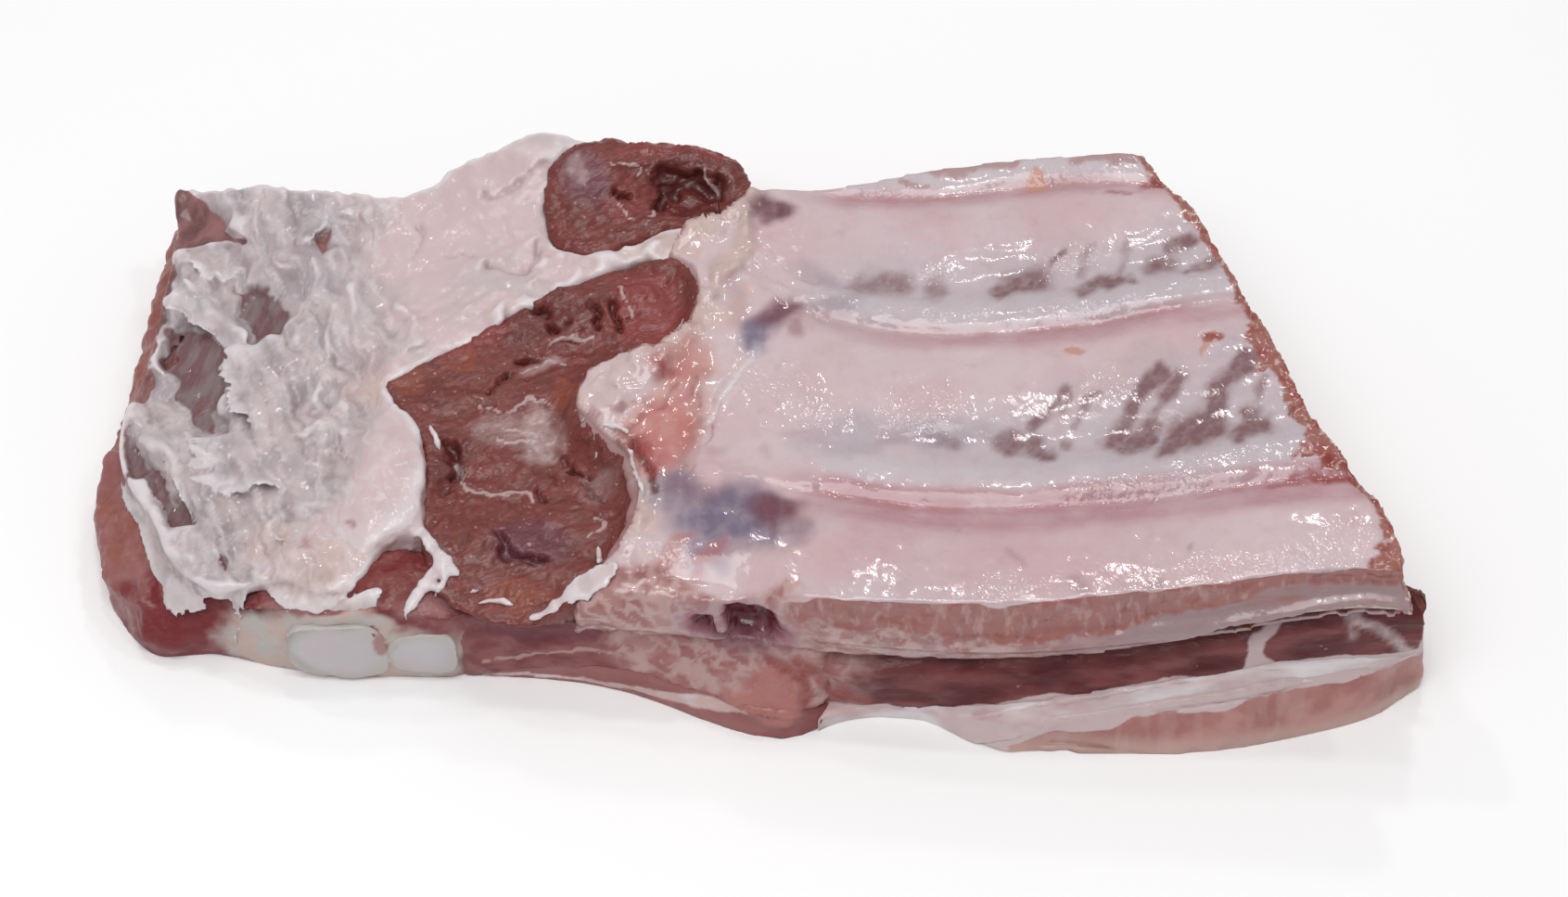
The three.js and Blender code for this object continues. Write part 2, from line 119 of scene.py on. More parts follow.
def cloud(place, size, seed=0, octaves=3):
    """Soft lumps between about -1 and 1. Size is their width in mm, or one width for each axis."""
    at = place / np.asarray(size, float)
    total = 0
    for octave in range(octaves):
        low = np.floor(at)
        share = at - low
        share = share ** 3 * (share * (share * 6 - 15) + 10)
        value = 0
        for corner in CORNERS:
            weight = np.prod(np.where(corner, share, 1 - share), axis=1)
            value = value + weight * draw(low + corner, seed + 31 * octave)
        total = total + (2 * value - 1) * 0.5 ** octave
        at = at * 2.03 + 7.1
    return total


def cells(place, size, seed=0):
    """Distances, in cells, to the nearest and to the second nearest heart of scattered cells."""
    at = place / np.asarray(size, float)
    low = np.floor(at)
    nearest = np.full(len(at), 9.0)
    second = np.full(len(at), 9.0)
    for neighbour in NEIGHBOURS:
        cell = low + neighbour
        heart = cell + np.stack([draw(cell, seed + axis) for axis in range(3)], axis=1)
        distance = np.linalg.norm(heart - at, axis=1)
        second = np.minimum(second, np.maximum(nearest, distance))
        nearest = np.minimum(nearest, distance)
    return nearest, second


def astray(place, far, size, seed):
    """Places moved about by soft lumps of noise, so that what is drawn on them gets an uneven rim."""
    return place + far * np.stack([cloud(place, size, seed + axis) for axis in range(3)], axis=1)


def ridges(place, across, along, turn, seed):
    """Long narrow ridges between 0 and 1, laid along a direction turned from X."""
    run = place[:, 0] * math.cos(turn) + place[:, 1] * math.sin(turn)
    side = place[:, 1] * math.cos(turn) - place[:, 0] * math.sin(turn)
    turned = np.stack([run, side, place[:, 2]], axis=1)
    return (1 - np.abs(np.clip(1.6 * cloud(turned, (along, across, 12), seed), -1, 1))) ** 2


# Zones drawn on a face, in plan (X and Y) or on a wall (X and Z)

def plan(place):
    return place[:, :2]


def wall(place):
    return place[:, [0, 2]]


def oval(face, across, up, wide, deep, turn=0.0):
    """1 inside an oval, 0.5 at its rim and 0 well outside it."""
    dx = face[:, 0] - across
    dy = face[:, 1] - up
    a = (dx * math.cos(turn) + dy * math.sin(turn)) / wide
    b = (dy * math.cos(turn) - dx * math.sin(turn)) / deep
    return 1 - ease(np.hypot(a, b), 0.55, 1.45)


def ovals(face, places):
    return np.max([oval(face, *place) for place in places], axis=0)


def soft_ovals(face, places):
    """Several ovals, each given as (strength, across, up, wide, deep, turn)."""
    return np.max([strength * oval(face, *place) for strength, *place in places], axis=0)


def mounds(face, places):
    """The height of rounded swellings, each given as (across, up, wide, deep, height)."""
    total = 0
    for across, up, wide, deep, height in places:
        dx = (face[:, 0] - across) / wide
        dy = (face[:, 1] - up) / deep
        total = total + height * np.exp(-dx * dx - dy * dy)
    return total


def off_line(face, points):
    """The distance of each point of a face to a drawn line."""
    nearest = np.full(len(face), 1e9)
    for start, end in itertools.pairwise(np.array(points, float)):
        run = end - start
        share = np.clip((face - start) @ run / (run @ run), 0, 1)
        nearest = np.minimum(nearest, np.linalg.norm(face - start - share[:, None] * run, axis=1))
    return nearest


def stroke(face, width, *points):
    """1 on a drawn line, 0.5 at its edge and 0 outside it."""
    return 1 - ease(off_line(face, points) / (width / 2), 0.4, 1.6)


def strokes(face, lines):
    """Several strokes, each given as (width, point, point, ...)."""
    return np.max([stroke(face, *line) for line in lines], axis=0)


def soft_strokes(face, lines, fade=1.9):
    """Strokes that fade out slowly, each given as (width, strength, point, point, ...)."""
    shades = [
        strength * (1 - ease(off_line(face, points) / (width / 2), 0.3, fade))
        for width, strength, *points in lines
    ]
    return np.max(shades, axis=0)


def patch(face, outline, soft):
    """1 inside an outline and 0 outside it, with a rim that is soft over a width in mm."""
    closed = [*outline, outline[0]]
    inside = np.zeros(len(face), bool)
    for (x0, y0), (x1, y1) in itertools.pairwise(closed):
        spans = (face[:, 1] < y0) != (face[:, 1] < y1)
        crossing = x0 + (face[:, 1] - y0) * (x1 - x0) / (y1 - y0 if y1 != y0 else 1)
        inside ^= spans & (face[:, 0] < crossing)
    distance = off_line(face, closed)
    return ease(np.where(inside, distance, -distance), -soft, soft)


# Meshes

def only(*objects):
    """Selects these objects and nothing else, the last one active."""
    bpy.ops.object.select_all(action="DESELECT")
    for item in objects:
        item.select_set(True)
    bpy.context.view_layer.objects.active = objects[-1]


def finish_with(piece, kind, **settings):
    """Adds one modifier to a piece and applies it."""
    only(piece)
    modifier = piece.modifiers.new(kind, kind)
    for name, value in settings.items():
        setattr(modifier, name, value)
    bpy.ops.object.modifier_apply(modifier=modifier.name)


def points_of(mesh):
    """The points of a mesh in its own units, one row for each."""
    flat = np.empty(len(mesh.vertices) * 3, np.float32)
    mesh.vertices.foreach_get("co", flat)
    return flat.reshape(-1, 3).astype(float)


def move_points(mesh, place):
    """Moves the points of a mesh to places given in mm."""
    mesh.vertices.foreach_set("co", (place * MM).astype(np.float32).ravel())
    mesh.update()


def mark(mesh, **values):
    """Keeps values between 0 and 1 for each point of a mesh."""
    for name, value in values.items():
        attribute = mesh.attributes.new(name, "FLOAT", "POINT")
        attribute.data.foreach_set("value", np.clip(value, 0, 1).astype(np.float32))


def merged_copy(node, grow):
    """A copy of a solid with its loose triangles merged, grown a little to close the tissue gap."""
    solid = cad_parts[node]
    piece = bpy.data.objects.new(node + "_copy", solid.data.copy())
    bpy.context.scene.collection.objects.link(piece)
    only(piece)
    bpy.ops.object.mode_set(mode="EDIT")
    bpy.ops.mesh.select_all(action="SELECT")
    bpy.ops.mesh.remove_doubles(threshold=1e-6)
    bpy.ops.object.mode_set(mode="OBJECT")
    if grow:
        finish_with(piece, "DISPLACE", strength=grow * MM, mid_level=0)
    return piece


class Tissue:
    """A closed, finely meshed tissue whose skin is lifted and painted by place."""

    def __init__(self, name, nodes, grain, smoothing=6, grow=0.25):
        copies = [merged_copy(node, grow) for node in nodes]
        only(*copies)
        if len(copies) > 1:
            bpy.ops.object.join()
        self.piece = bpy.context.view_layer.objects.active
        self.piece.name = name
        self.piece.data.name = name
        finish_with(self.piece, "REMESH", mode="VOXEL", voxel_size=grain)
        finish_with(self.piece, "SMOOTH", factor=0.5, iterations=smoothing)
        self.nodes = nodes
        self.read()

    def read(self):
        mesh = self.piece.data
        self.place = points_of(mesh) / MM
        flat = np.empty(len(mesh.vertices) * 3, np.float32)
        mesh.vertex_normals.foreach_get("vector", flat)
        self.normal = flat.reshape(-1, 3).astype(float)

    def settle(self):
        """Puts the moved skin back into the mesh and looks at its new slopes."""
        move_points(self.piece.data, self.place)
        self.read()

    def cloud(self, size, seed):
        return cloud(self.place, size, seed)

    def lift(self, height):
        self.place += self.normal * np.asarray(height)[:, None]
        self.settle()

    def push(self, x=0, y=0, z=0):
        self.place += np.stack(np.broadcast_arrays(x, y, z, self.place[:, 0])[:3], axis=1)
        self.settle()

    def smoothed(self, share, times):
        """The skin when each point has moved a share of the way to the middle of its neighbours."""
        mesh = self.piece.data
        ends = np.empty(len(mesh.edges) * 2, np.int32)
        mesh.edges.foreach_get("vertices", ends)
        first, second = ends.reshape(-1, 2).T
        count = len(mesh.vertices)
        degree = np.bincount(first, minlength=count) + np.bincount(second, minlength=count)
        weight = (0.6 * share)[:, None]
        place = self.place.copy()
        for _ in range(times):
            sums = [
                np.bincount(first, row[second], count) + np.bincount(second, row[first], count)
                for row in place.T
            ]
            place += weight * (np.stack(sums, axis=1) / degree[:, None] - place)
        return place

    def relax(self, share, times):
        """Smooths part of the skin."""
        self.place = self.smoothed(share, times)
        self.settle()

    def hollows(self, times):
        """How far each point lies below the smoothed skin, in mm: above 0 in hollows, below on crests."""
        even = self.smoothed(np.ones(len(self.place)), times)
        return np.sum((even - self.place) * self.normal, axis=1)

    def grow_into(self, others, grain, keys):
        """Makes one skin of this tissue and what lies on it, and gives the values of what is nearest."""
        count = len(self.place)
        tree = KDTree(count + sum(len(other.data.vertices) for other in others))
        values = [np.zeros((count, len(keys)))]
        for i, spot in enumerate(self.place * MM):
            tree.insert(spot, i)
        for other in others:
            mesh = other.data
            for vertex in mesh.vertices:
                tree.insert(vertex.co, count + vertex.index)
            count += len(mesh.vertices)
            rows = np.empty((len(keys), len(mesh.vertices)), np.float32)
            for row, key in zip(rows, keys):
                mesh.attributes[key].data.foreach_get("value", row)
            values.append(rows.T)
        tree.balance()
        values = np.concatenate(values)
        only(*others, self.piece)
        bpy.ops.object.join()
        finish_with(self.piece, "REMESH", mode="VOXEL", voxel_size=grain)
        finish_with(self.piece, "SMOOTH", factor=0.5, iterations=4)
        self.read()
        nearest = [tree.find(spot)[1] for spot in self.place * MM]
        return values[nearest].T

    def cut_flush(self, proud=0.0, share=1.0):
        """Moves the front wall onto the one face that the knife left, but not far."""
        x, y, z = self.place.T
        face = front_face()(x, z)
        wall_share = ease(-self.normal[:, 1], 0.15, 0.5) * (1 - ease(np.abs(y - face), 4, 6)) * share
        self.push(y=np.clip(face - proud - y, -3, 3) * wall_share)
        self.relax(wall_share, 3)

    def reach(self, x=0, y=0, z=0, share=1.0):
        """Stretches the walls that face one way, so that they sink into the neighbour."""
        way = np.array([x, y, z], float)
        facing = self.normal @ way / np.linalg.norm(way)
        self.place += (ease(facing, 0.5, 0.8) * share)[:, None] * way
        self.settle()

    def feather(self, past):
        """Sinks the front wall in by a quarter of the distance past the joint with a neighbour."""
        front = ease(-self.normal[:, 1], 0.1, 0.4) * ease(-self.place[:, 1], 28, 32)
        self.push(y=0.25 * np.maximum(past, 0) * front)

    def keep_on_table(self):
        self.place[:, 2] = np.maximum(self.place[:, 2], 0)
        self.settle()

    def paint(self, **zones):
        mark(self.piece.data, **zones)

    def hand_in(self, material, slot):
        """Gives the piece its finish and tells what it rides on and stands for."""
        self.piece.data.materials.clear()
        self.piece.data.materials.append(material)
        only(self.piece)
        bpy.ops.object.shade_smooth()
        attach(self.piece, BODY)
        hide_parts(*self.nodes)


def surface_of(meshes):
    """One search tree over the faces of several meshes."""
    corners, faces = [], []
    for mesh in meshes:
        base = len(corners)
        corners += [vertex.co.copy() for vertex in mesh.vertices]
        faces += [[base + i for i in polygon.vertices] for polygon in mesh.polygons]
    return BVHTree.FromPolygons(corners, faces)


class FrontFace:
    """The face that the knife left along the front: how far forward the layers reach at each X and Z."""

    LAYERS = (
        "breast_lean", "cartilage_1", "cartilage_2", "brisket_meat",
        "pectoral_meat", "flank_meat", "fat_seam", "belly_meat",
    )
    PLATE_REACH = 8.0
    LEFT, RIGHT = -120, 120
    LOW, TOP = 0.25, 32
    STEP_X, STEP_Z = 1.0, 0.5
    SPREAD_X, SPREAD_Z = 2.5, 3.0
    DEEPEST = -20.0
    BEFORE_SLAB = -100.0

    def __init__(self):
        layers = surface_of([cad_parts[node].data for node in self.LAYERS])
        with_plate = surface_of([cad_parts[node].data for node in (*self.LAYERS, "rib_plate")])
        across = np.arange(self.LEFT, self.RIGHT, self.STEP_X)
        up = np.arange(self.LOW, self.TOP, self.STEP_Z)
        depth = np.full((len(across), len(up)), np.nan)
        for i, j in np.ndindex(depth.shape):
            start = Vector((across[i], self.BEFORE_SLAB, up[j])) * MM
            tree = with_plate if across[i] < self.PLATE_REACH else layers
            hit = tree.ray_cast(start, Vector((0, 1, 0)))[0]
            if hit and hit.y / MM < self.DEEPEST:
                depth[i, j] = hit.y / MM
        known = ~np.isnan(depth)
        total = self.blur(np.where(known, depth, 0))
        self.depth = total / np.maximum(self.blur(known.astype(float)), 1e-6)

    def blur(self, grid):
        for axis, spread in ((0, self.SPREAD_X / self.STEP_X), (1, self.SPREAD_Z / self.STEP_Z)):
            reach = np.arange(-int(3 * spread), int(3 * spread) + 1)
            kernel = np.exp(-0.5 * (reach / spread) ** 2)
            grid = np.apply_along_axis(np.convolve, axis, grid, kernel / kernel.sum(), "same")
        return grid

    def __call__(self, x, z):
        i = np.clip((x - self.LEFT) / self.STEP_X, 0, self.depth.shape[0] - 1.001)
        j = np.clip((z - self.LOW) / self.STEP_Z, 0, self.depth.shape[1] - 1.001)
        i0, j0 = i.astype(int), j.astype(int)
        a, b = i - i0, j - j0
        d = self.depth
        low = d[i0, j0] * (1 - a) + d[i0 + 1, j0] * a
        high = d[i0, j0 + 1] * (1 - a) + d[i0 + 1, j0 + 1] * a
        return low * (1 - b) + high * b


@functools.cache
def front_face():
    return FrontFace()


# Materials

WET_FILM_ROUGHNESS = 0.09
WET_FILM_IOR = 1.5
TISSUE_SPECULAR = 0.25
FLESH_RADIUS = (1.0, 0.45, 0.35)


class Finish:
    """A wet tissue material, built up from clouded colours, painted zones and fine relief."""

    def __init__(self, name):
        self.material = bpy.data.materials.new(name)
        self.material.use_nodes = True
        self.nodes = self.material.node_tree.nodes
        self.links = self.material.node_tree.links
        self.shader = self.nodes["Principled BSDF"]
        self.where = self.nodes.new("ShaderNodeTexCoord").outputs["Object"]
        self.relief = None

    def node(self, kind, inputs, **settings):
        made = self.nodes.new(kind)
        for name, value in settings.items():
            setattr(made, name, value)
        for name, value in inputs.items():
            self.feed(made.inputs[name], value)
        return made

    def feed(self, socket, value):
        """Links a value to a socket, or sets it there."""
        if isinstance(value, bpy.types.NodeSocket):
            self.links.new(value, socket)
        else:
            socket.default_value = value

    def sums(self, operation, *values):
        return self.node("ShaderNodeMath", dict(enumerate(values)), operation=operation).outputs[0]

    def noise(self, size, detail=3.0, stretch=None, turn=0.0, twist=0.0):
        """Noise with lumps of a size in mm, which may be stretched along the axes and turned about Z."""
        where = self.where
        if stretch:
            turned = {"Vector": where, "Rotation": (0, 0, turn)}
            where = self.node("ShaderNodeMapping", turned).outputs[0]
            longer = {"Vector": where, "Scale": tuple(1 / share for share in stretch)}
            where = self.node("ShaderNodeMapping", longer).outputs[0]
        inputs = {"Vector": where, "Scale": 1 / (size * MM), "Detail": detail, "Distortion": twist}
        return self.node("ShaderNodeTexNoise", inputs).outputs["Fac"]

    def fleck(self, size):
        """Scattered cells of a size in mm."""
        inputs = {"Vector": self.where, "Scale": 1 / (size * MM)}
        return self.node("ShaderNodeTexVoronoi", inputs).outputs["Distance"]

    def range(self, value, low, high, to_low=0.0, to_high=1.0):
        inputs = {"Value": value, "From Min": low, "From Max": high, "To Min": to_low, "To Max": to_high}
        made = self.node("ShaderNodeMapRange", inputs, interpolation_type="SMOOTHSTEP")
        return made.outputs["Result"]

    def clouds(self, low, high, *lumps):
        """The share of noise above a soft threshold that rises from low to high."""
        return self.range(self.noise(*lumps), low, high)

    def gloss(self, size, low, high):
        """Uneven roughness between two values, in patches of a size in mm."""
        return self.range(self.noise(size, 3), 0.35, 0.65, low, high)

    def zone(self, name, breakup=3.0, ragged=0.5, soft=0.25):
        """A painted zone whose rim is broken up by noise of a size in mm."""
        painted = self.node("ShaderNodeAttribute", {}, attribute_name=name).outputs["Fac"]
        torn = self.sums("MULTIPLY_ADD", self.noise(breakup, 4.0), ragged, painted)
        middle = 0.5 + 0.5 * ragged
        return self.range(torn, middle - soft, middle + soft)

    def painted(self, name, uneven=0.0, size=3.0):
        """A painted zone with its own soft rim. Noise of a size in mm takes an uneven share away."""
        value = self.node("ShaderNodeAttribute", {}, attribute_name=name).outputs["Fac"]
        if uneven:
            value = self.sums("MULTIPLY", value, self.range(self.noise(size, 4), 0.3, 0.6, 1 - uneven, 1.0))
        return value

    def over(self, skin, share, strength, tone):
        """Lays a tone over the skin where a zone is, up to a strength."""
        return self.mix(self.sums("MULTIPLY", share, strength), skin, tone)

    def coats(self, skin, *layers):
        """Lays several tones over the skin in turn, each given as (share, strength, tone)."""
        for layer in layers:
            skin = self.over(skin, *layer)
        return skin

    def mix(self, share, first, second):
        """Blends two tones, each a colour or a socket, by a share."""
        made = self.node("ShaderNodeMix", {"Factor": share}, data_type="RGBA")
        for socket, tone in ((made.inputs[6], first), (made.inputs[7], second)):
            self.feed(socket, tone if isinstance(tone, bpy.types.NodeSocket) else (*tone, 1))
        return made.outputs[2]

    def add_relief(self, height, depth):
        """Adds fine relief: a value of 0 to 1 times a depth in mm."""
        scaled = self.sums("MULTIPLY", height, depth)
        self.relief = scaled if self.relief is None else self.sums("ADD", self.relief, scaled)

    def done(self, colour, roughness, wet=0.5, flesh=0.2, depth=1.2):
        """Connects colour and relief. Wet is the share of the wet film, flesh that of the light let in."""
        shader = self.shader
        self.links.new(colour, shader.inputs["Base Color"])
        self.feed(shader.inputs["Roughness"], roughness)
        shader.inputs["Coat Weight"].default_value = wet
        shader.inputs["Coat Roughness"].default_value = WET_FILM_ROUGHNESS
        shader.inputs["Coat IOR"].default_value = WET_FILM_IOR
        shader.inputs["Specular IOR Level"].default_value = TISSUE_SPECULAR
        shader.inputs["Subsurface Weight"].default_value = flesh
        shader.inputs["Subsurface Radius"].default_value = FLESH_RADIUS
        shader.inputs["Subsurface Scale"].default_value = depth * MM
        if self.relief is not None:
            bump = self.node("ShaderNodeBump", {"Height": self.relief, "Distance": MM, "Strength": 1.0})
            self.links.new(bump.outputs["Normal"], shader.inputs["Normal"])
            self.links.new(bump.outputs["Normal"], shader.inputs["Coat Normal"])
        return self.material


# Properties

def colour(name, description, red, green, blue):
    return bpy.props.FloatVectorProperty(
        name=name,
        description=description,
        subtype="COLOR",
        size=3,
        min=0,
        max=1,
        default=tint(red, green, blue),
    )


def length(name, description, millimetres):
    return bpy.props.FloatProperty(
        name=name,
        description=description,
        unit="LENGTH",
        min=0,
        default=millimetres * MM,
    )


class SlabSizes(bpy.types.PropertyGroup):
    """Mesh grain of the tissues"""

    plate_grain: length("Plate grain", "Mesh width of the rib plate", 0.66)
    fat_grain: length("Fat grain", "Mesh width of the breast fat", 0.5)
    muscle_grain: length("Muscle grain", "Mesh width of the skirt muscles", 0.5)
    layer_grain: length("Layer grain", "Mesh width of the layers under the ribs", 0.75)
    bone_grain: length("Bone grain", "Mesh width of bones and cartilage", 0.6)


class SlabColours(bpy.types.PropertyGroup):
    """Colours of the tissues"""

    membrane: colour("Membrane", "Pale membrane over the ribs", 203, 183, 187)
    membrane_pink: colour("Pink membrane", "Pinker clouds of the membrane", 200, 171, 174)
    ridge: colour("Ridge", "White ridges beside the vessel lines", 192, 182, 187)
    meat_through: colour("Meat through", "Meat that shows through the membrane", 122, 87, 90)
    meat_halo: colour("Meat halo", "Bluish rim of the meat that shows through", 178, 165, 172)
    vessel: colour("Vessel", "Pink flush along the vessel lines", 174, 130, 136)
    vessel_red: colour("Red vessel", "Thin red vessel lines", 164, 92, 94)
    blood: colour("Blood", "Blood in and on the tissue", 140, 42, 42)
    bruise_red: colour("Red bruise", "Purple-red patches at the rib roots", 108, 62, 76)
    bruise_blue: colour("Blue bruise", "Blue-grey patches at the rib roots", 110, 99, 121)
    bruise_pale: colour("Film around the hole", "Bluish film around the front hole", 160, 140, 148)
    hole: colour("Hole", "Dark flesh in the front hole", 98, 26, 33)
    hole_edge: colour("Edge of the hole", "Purple flesh at the rim of the front hole", 152, 96, 112)
    cream: colour("Cream fat", "Cream fat at the rib roots", 204, 176, 172)
    salmon: colour("Salmon fat", "Salmon-pink fat at the rib roots", 182, 106, 96)
    groove: colour("Groove", "Dull grooves at the rib roots", 160, 128, 128)
    blood_flush: colour("Blood flush", "Soft red flushes at the rib roots", 164, 78, 74)
    speck: colour("Speck", "Orange-brown specks on the membrane", 190, 138, 120)
    brown_strip: colour("Brown strip", "Cut meat along the front of the last rib", 154, 97, 91)
    bone_strip: colour("Bone strip", "Bared side of the last rib", 154, 130, 132)
    saw_crumb: colour("Saw crumbs", "Ragged edge left by the saw", 150, 92, 78)
    bone: colour("Bone", "Sawn bone", 205, 188, 176)
    marrow: colour("Marrow", "Marrow in the sawn bone", 140, 70, 64)
    fat: colour("Fat", "Torn white fat", 194, 179, 180)
    fat_pink: colour("Pink fat", "Fresh pinkish fat", 205, 182, 183)
    fat_grey: colour("Grey fat", "Dried grey fat", 155, 147, 152)
    fat_yellow: colour("Yellow fat", "Cream lobes of fat", 198, 174, 166)
    # Also painted over the convex crests of the fat as a painted highlight.
    fat_white: colour("White fat", "Stretched white rims and folds of the fat", 222, 215, 218)
    # Also painted as shade in the hollows and along the folds of the fat.
    film_over_lean_and_shade: colour("Film over lean", "Thin film that lean shines through", 124, 106, 107)
    lean_filmed: colour("Filmed lean", "Lean under a film", 112, 74, 75)
    lean: colour("Lean", "Lean that shows between the fat sheets", 148, 101, 100)
    lean_brown: colour("Brown lean", "Dried brown rim of the lean", 146, 88, 74)
    lean_dark: colour("Dark lean", "Dark fresh cut of the lean", 116, 36, 42)
    skirt: colour("Skirt", "Dark skirt muscle", 112, 47, 43)
    skirt_brown: colour("Brown skirt", "Browner clouds of the skirt muscle", 106, 52, 46)
    skirt_pale: colour("Pale skirt", "Paler fibres of the skirt muscle", 140, 72, 66)
    skirt_red: colour("Red skirt", "Fresh red parts of the skirt muscle", 138, 56, 54)
    # Also used as painted shade in the pits, creases and hollows of the muscles and under the rib lip.
    skirt_dark_and_shade: colour("Dark skirt", "Pits and folds of the skirt muscle", 78, 32, 31)
    skirt_orange: colour("Orange skirt", "Thin dried edges of the skirt muscle", 138, 70, 50)
    skirt_film: colour("Film", "White film and threads on the muscle", 198, 178, 176)
    cartilage: colour("Cartilage", "Bluish white cartilage", 190, 187, 190)
    gristle: colour("Gristle", "Greenish pale gristle around the cartilage", 186, 181, 176)
    tongue: colour("Tongue", "Smooth tongue of meat at the front", 172, 112, 106)
    brisket: colour("Brisket", "Mottled pink meat", 152, 98, 97)
    brisket_fat: colour("Brisket fat", "Fat between the strands of brisket", 188, 158, 154)
    brisket_pale: colour("Pale brisket", "Pale pink meat between the strands", 168, 122, 120)
    purple_lean: colour("Purple lean", "Dark purple lean above the pectoral", 112, 53, 63)
    pectoral: colour("Pectoral", "Purple-pink band of meat", 140, 84, 85)
    flank: colour("Flank", "Dark red lean layer", 86, 28, 32)
    flank_pale: colour("Pale flank", "Paler strands of the flank", 118, 56, 58)
    seam: colour("Seam", "White seam of fat", 199, 178, 179)
    belly: colour("Belly", "Pale pink lean layer", 183, 134, 129)
    belly_dark: colour("Dark belly", "Darker grain of the belly", 160, 106, 102)
    floor: colour("Floor", "Plain pale floor", 252, 252, 252)


def sizes():
    return bpy.context.scene.slab_sizes


def colours():
    return bpy.context.scene.slab_colours


# The rib plate

SAW_SLANT = 0.3
RIB_PITCH = 38.0
FRONT_RANGE = 48.0

# Levels and lines across and along the ribs, as (place, value) knots.
rib_side_level = through(
    (-40, 26), (-15, 28), (10, 30), (40, 31), (61, 33), (77, 34.5), (92, 37), (108, 38.5)
)
rib_swell = through(
    (0, -0.8), (0.08, 0.1), (0.3, 1.5), (0.5, 0.7), (0.66, -0.6), (0.85, 0.8), (0.93, 0.3), (1, -0.8)
)
VESSEL_LINES = [
    through((7, 46), (33, 43), (50, 44), (75, 42)),
    through((7, 18), (32, 11), (57, 11), (86, 14)),
    through((-8, -20), (15, -24), (31, -27), (63, -28), (100, -26)),
]
saw_line = through((-49, 110), (-37, 108), (-9, 96), (26, 84), (48.5, 72))
saw_crumb_width = through(
    (-49, 4.5), (-44, 3.4), (-38, 1.4), (-28, 1.8), (-23, 4.4), (-12, 3.6), (0, 3.2), (14, 2.4),
    (26, 1.6), (48, 1.2)
)
root_line = through(
    (-19, -12), (-10, -9), (0, -5), (7, 0), (14, -2), (20, 2), (28, -1), (36, 0), (46, 3)
)
strip_top_level = through(
    (14, 24.5), (30, 24.2), (46, 24.2), (62, 26.4), (72, 28.4), (84, 32.6), (94, 34.4), (105, 35.7)
)
strip_low_level = through(
    (14, 17), (30, 16.5), (46, 16.7), (54, 18), (65, 20.8), (78, 26.2), (85, 28.3), (91, 30.4),
    (97, 31.8), (105, 32.6)
)
brown_top_level = through(
    (6, 28), (15, 30.4), (33, 31.2), (47, 31.7), (61, 33.6), (71, 35), (85, 37.4), (106, 38.6)
)

# Lumps and hollows where the ribs meet the breast muscles: across, up, wide, deep, height.
ROOT_LUMPS = [
    (-24, 2, 6, 5, 1.2), (-15, 6, 5, 5, 1.4), (-7, 28, 5, 12, 1.2), (-18, -35, 7, 5, 1.5),
    (-9, -9, 7, 8, -1.2), (-23, 5, 2.4, 2.2, 1.2), (-18.5, 5.4, 2.4, 2, 1.2), (-26, -1, 2.2, 2.2, 1.0),
    (-21, -0.6, 2.4, 2.2, 1.0), (-25.5, -4.5, 2, 1.8, 0.9),
]
WHITE_LUMPS = [(-23, 4, 5.5, 4), (-24, -2.5, 5, 4.5), (-18, 5.6, 3.4, 3), (-22, -36.5, 5, 4)]
# Lumpy ridges of cream fat around the skirt muscles, as strokes.
ROOT_RIDGES = [
    (5, (-2, 53), (-1.6, 48), (-5, 40.5), (-9, 36.5), (-15, 34)),
    (3.5, (-2, 47), (-1, 36), (-2, 30), (-6, 25)),
    (5, (-26, -4), (-25, 2), (-20, 6), (-14, 8), (-10, 13), (-8, 20)),
    (3.5, (-22, -12), (-18.5, -18), (-17.5, -25), (-21, -32)),
]
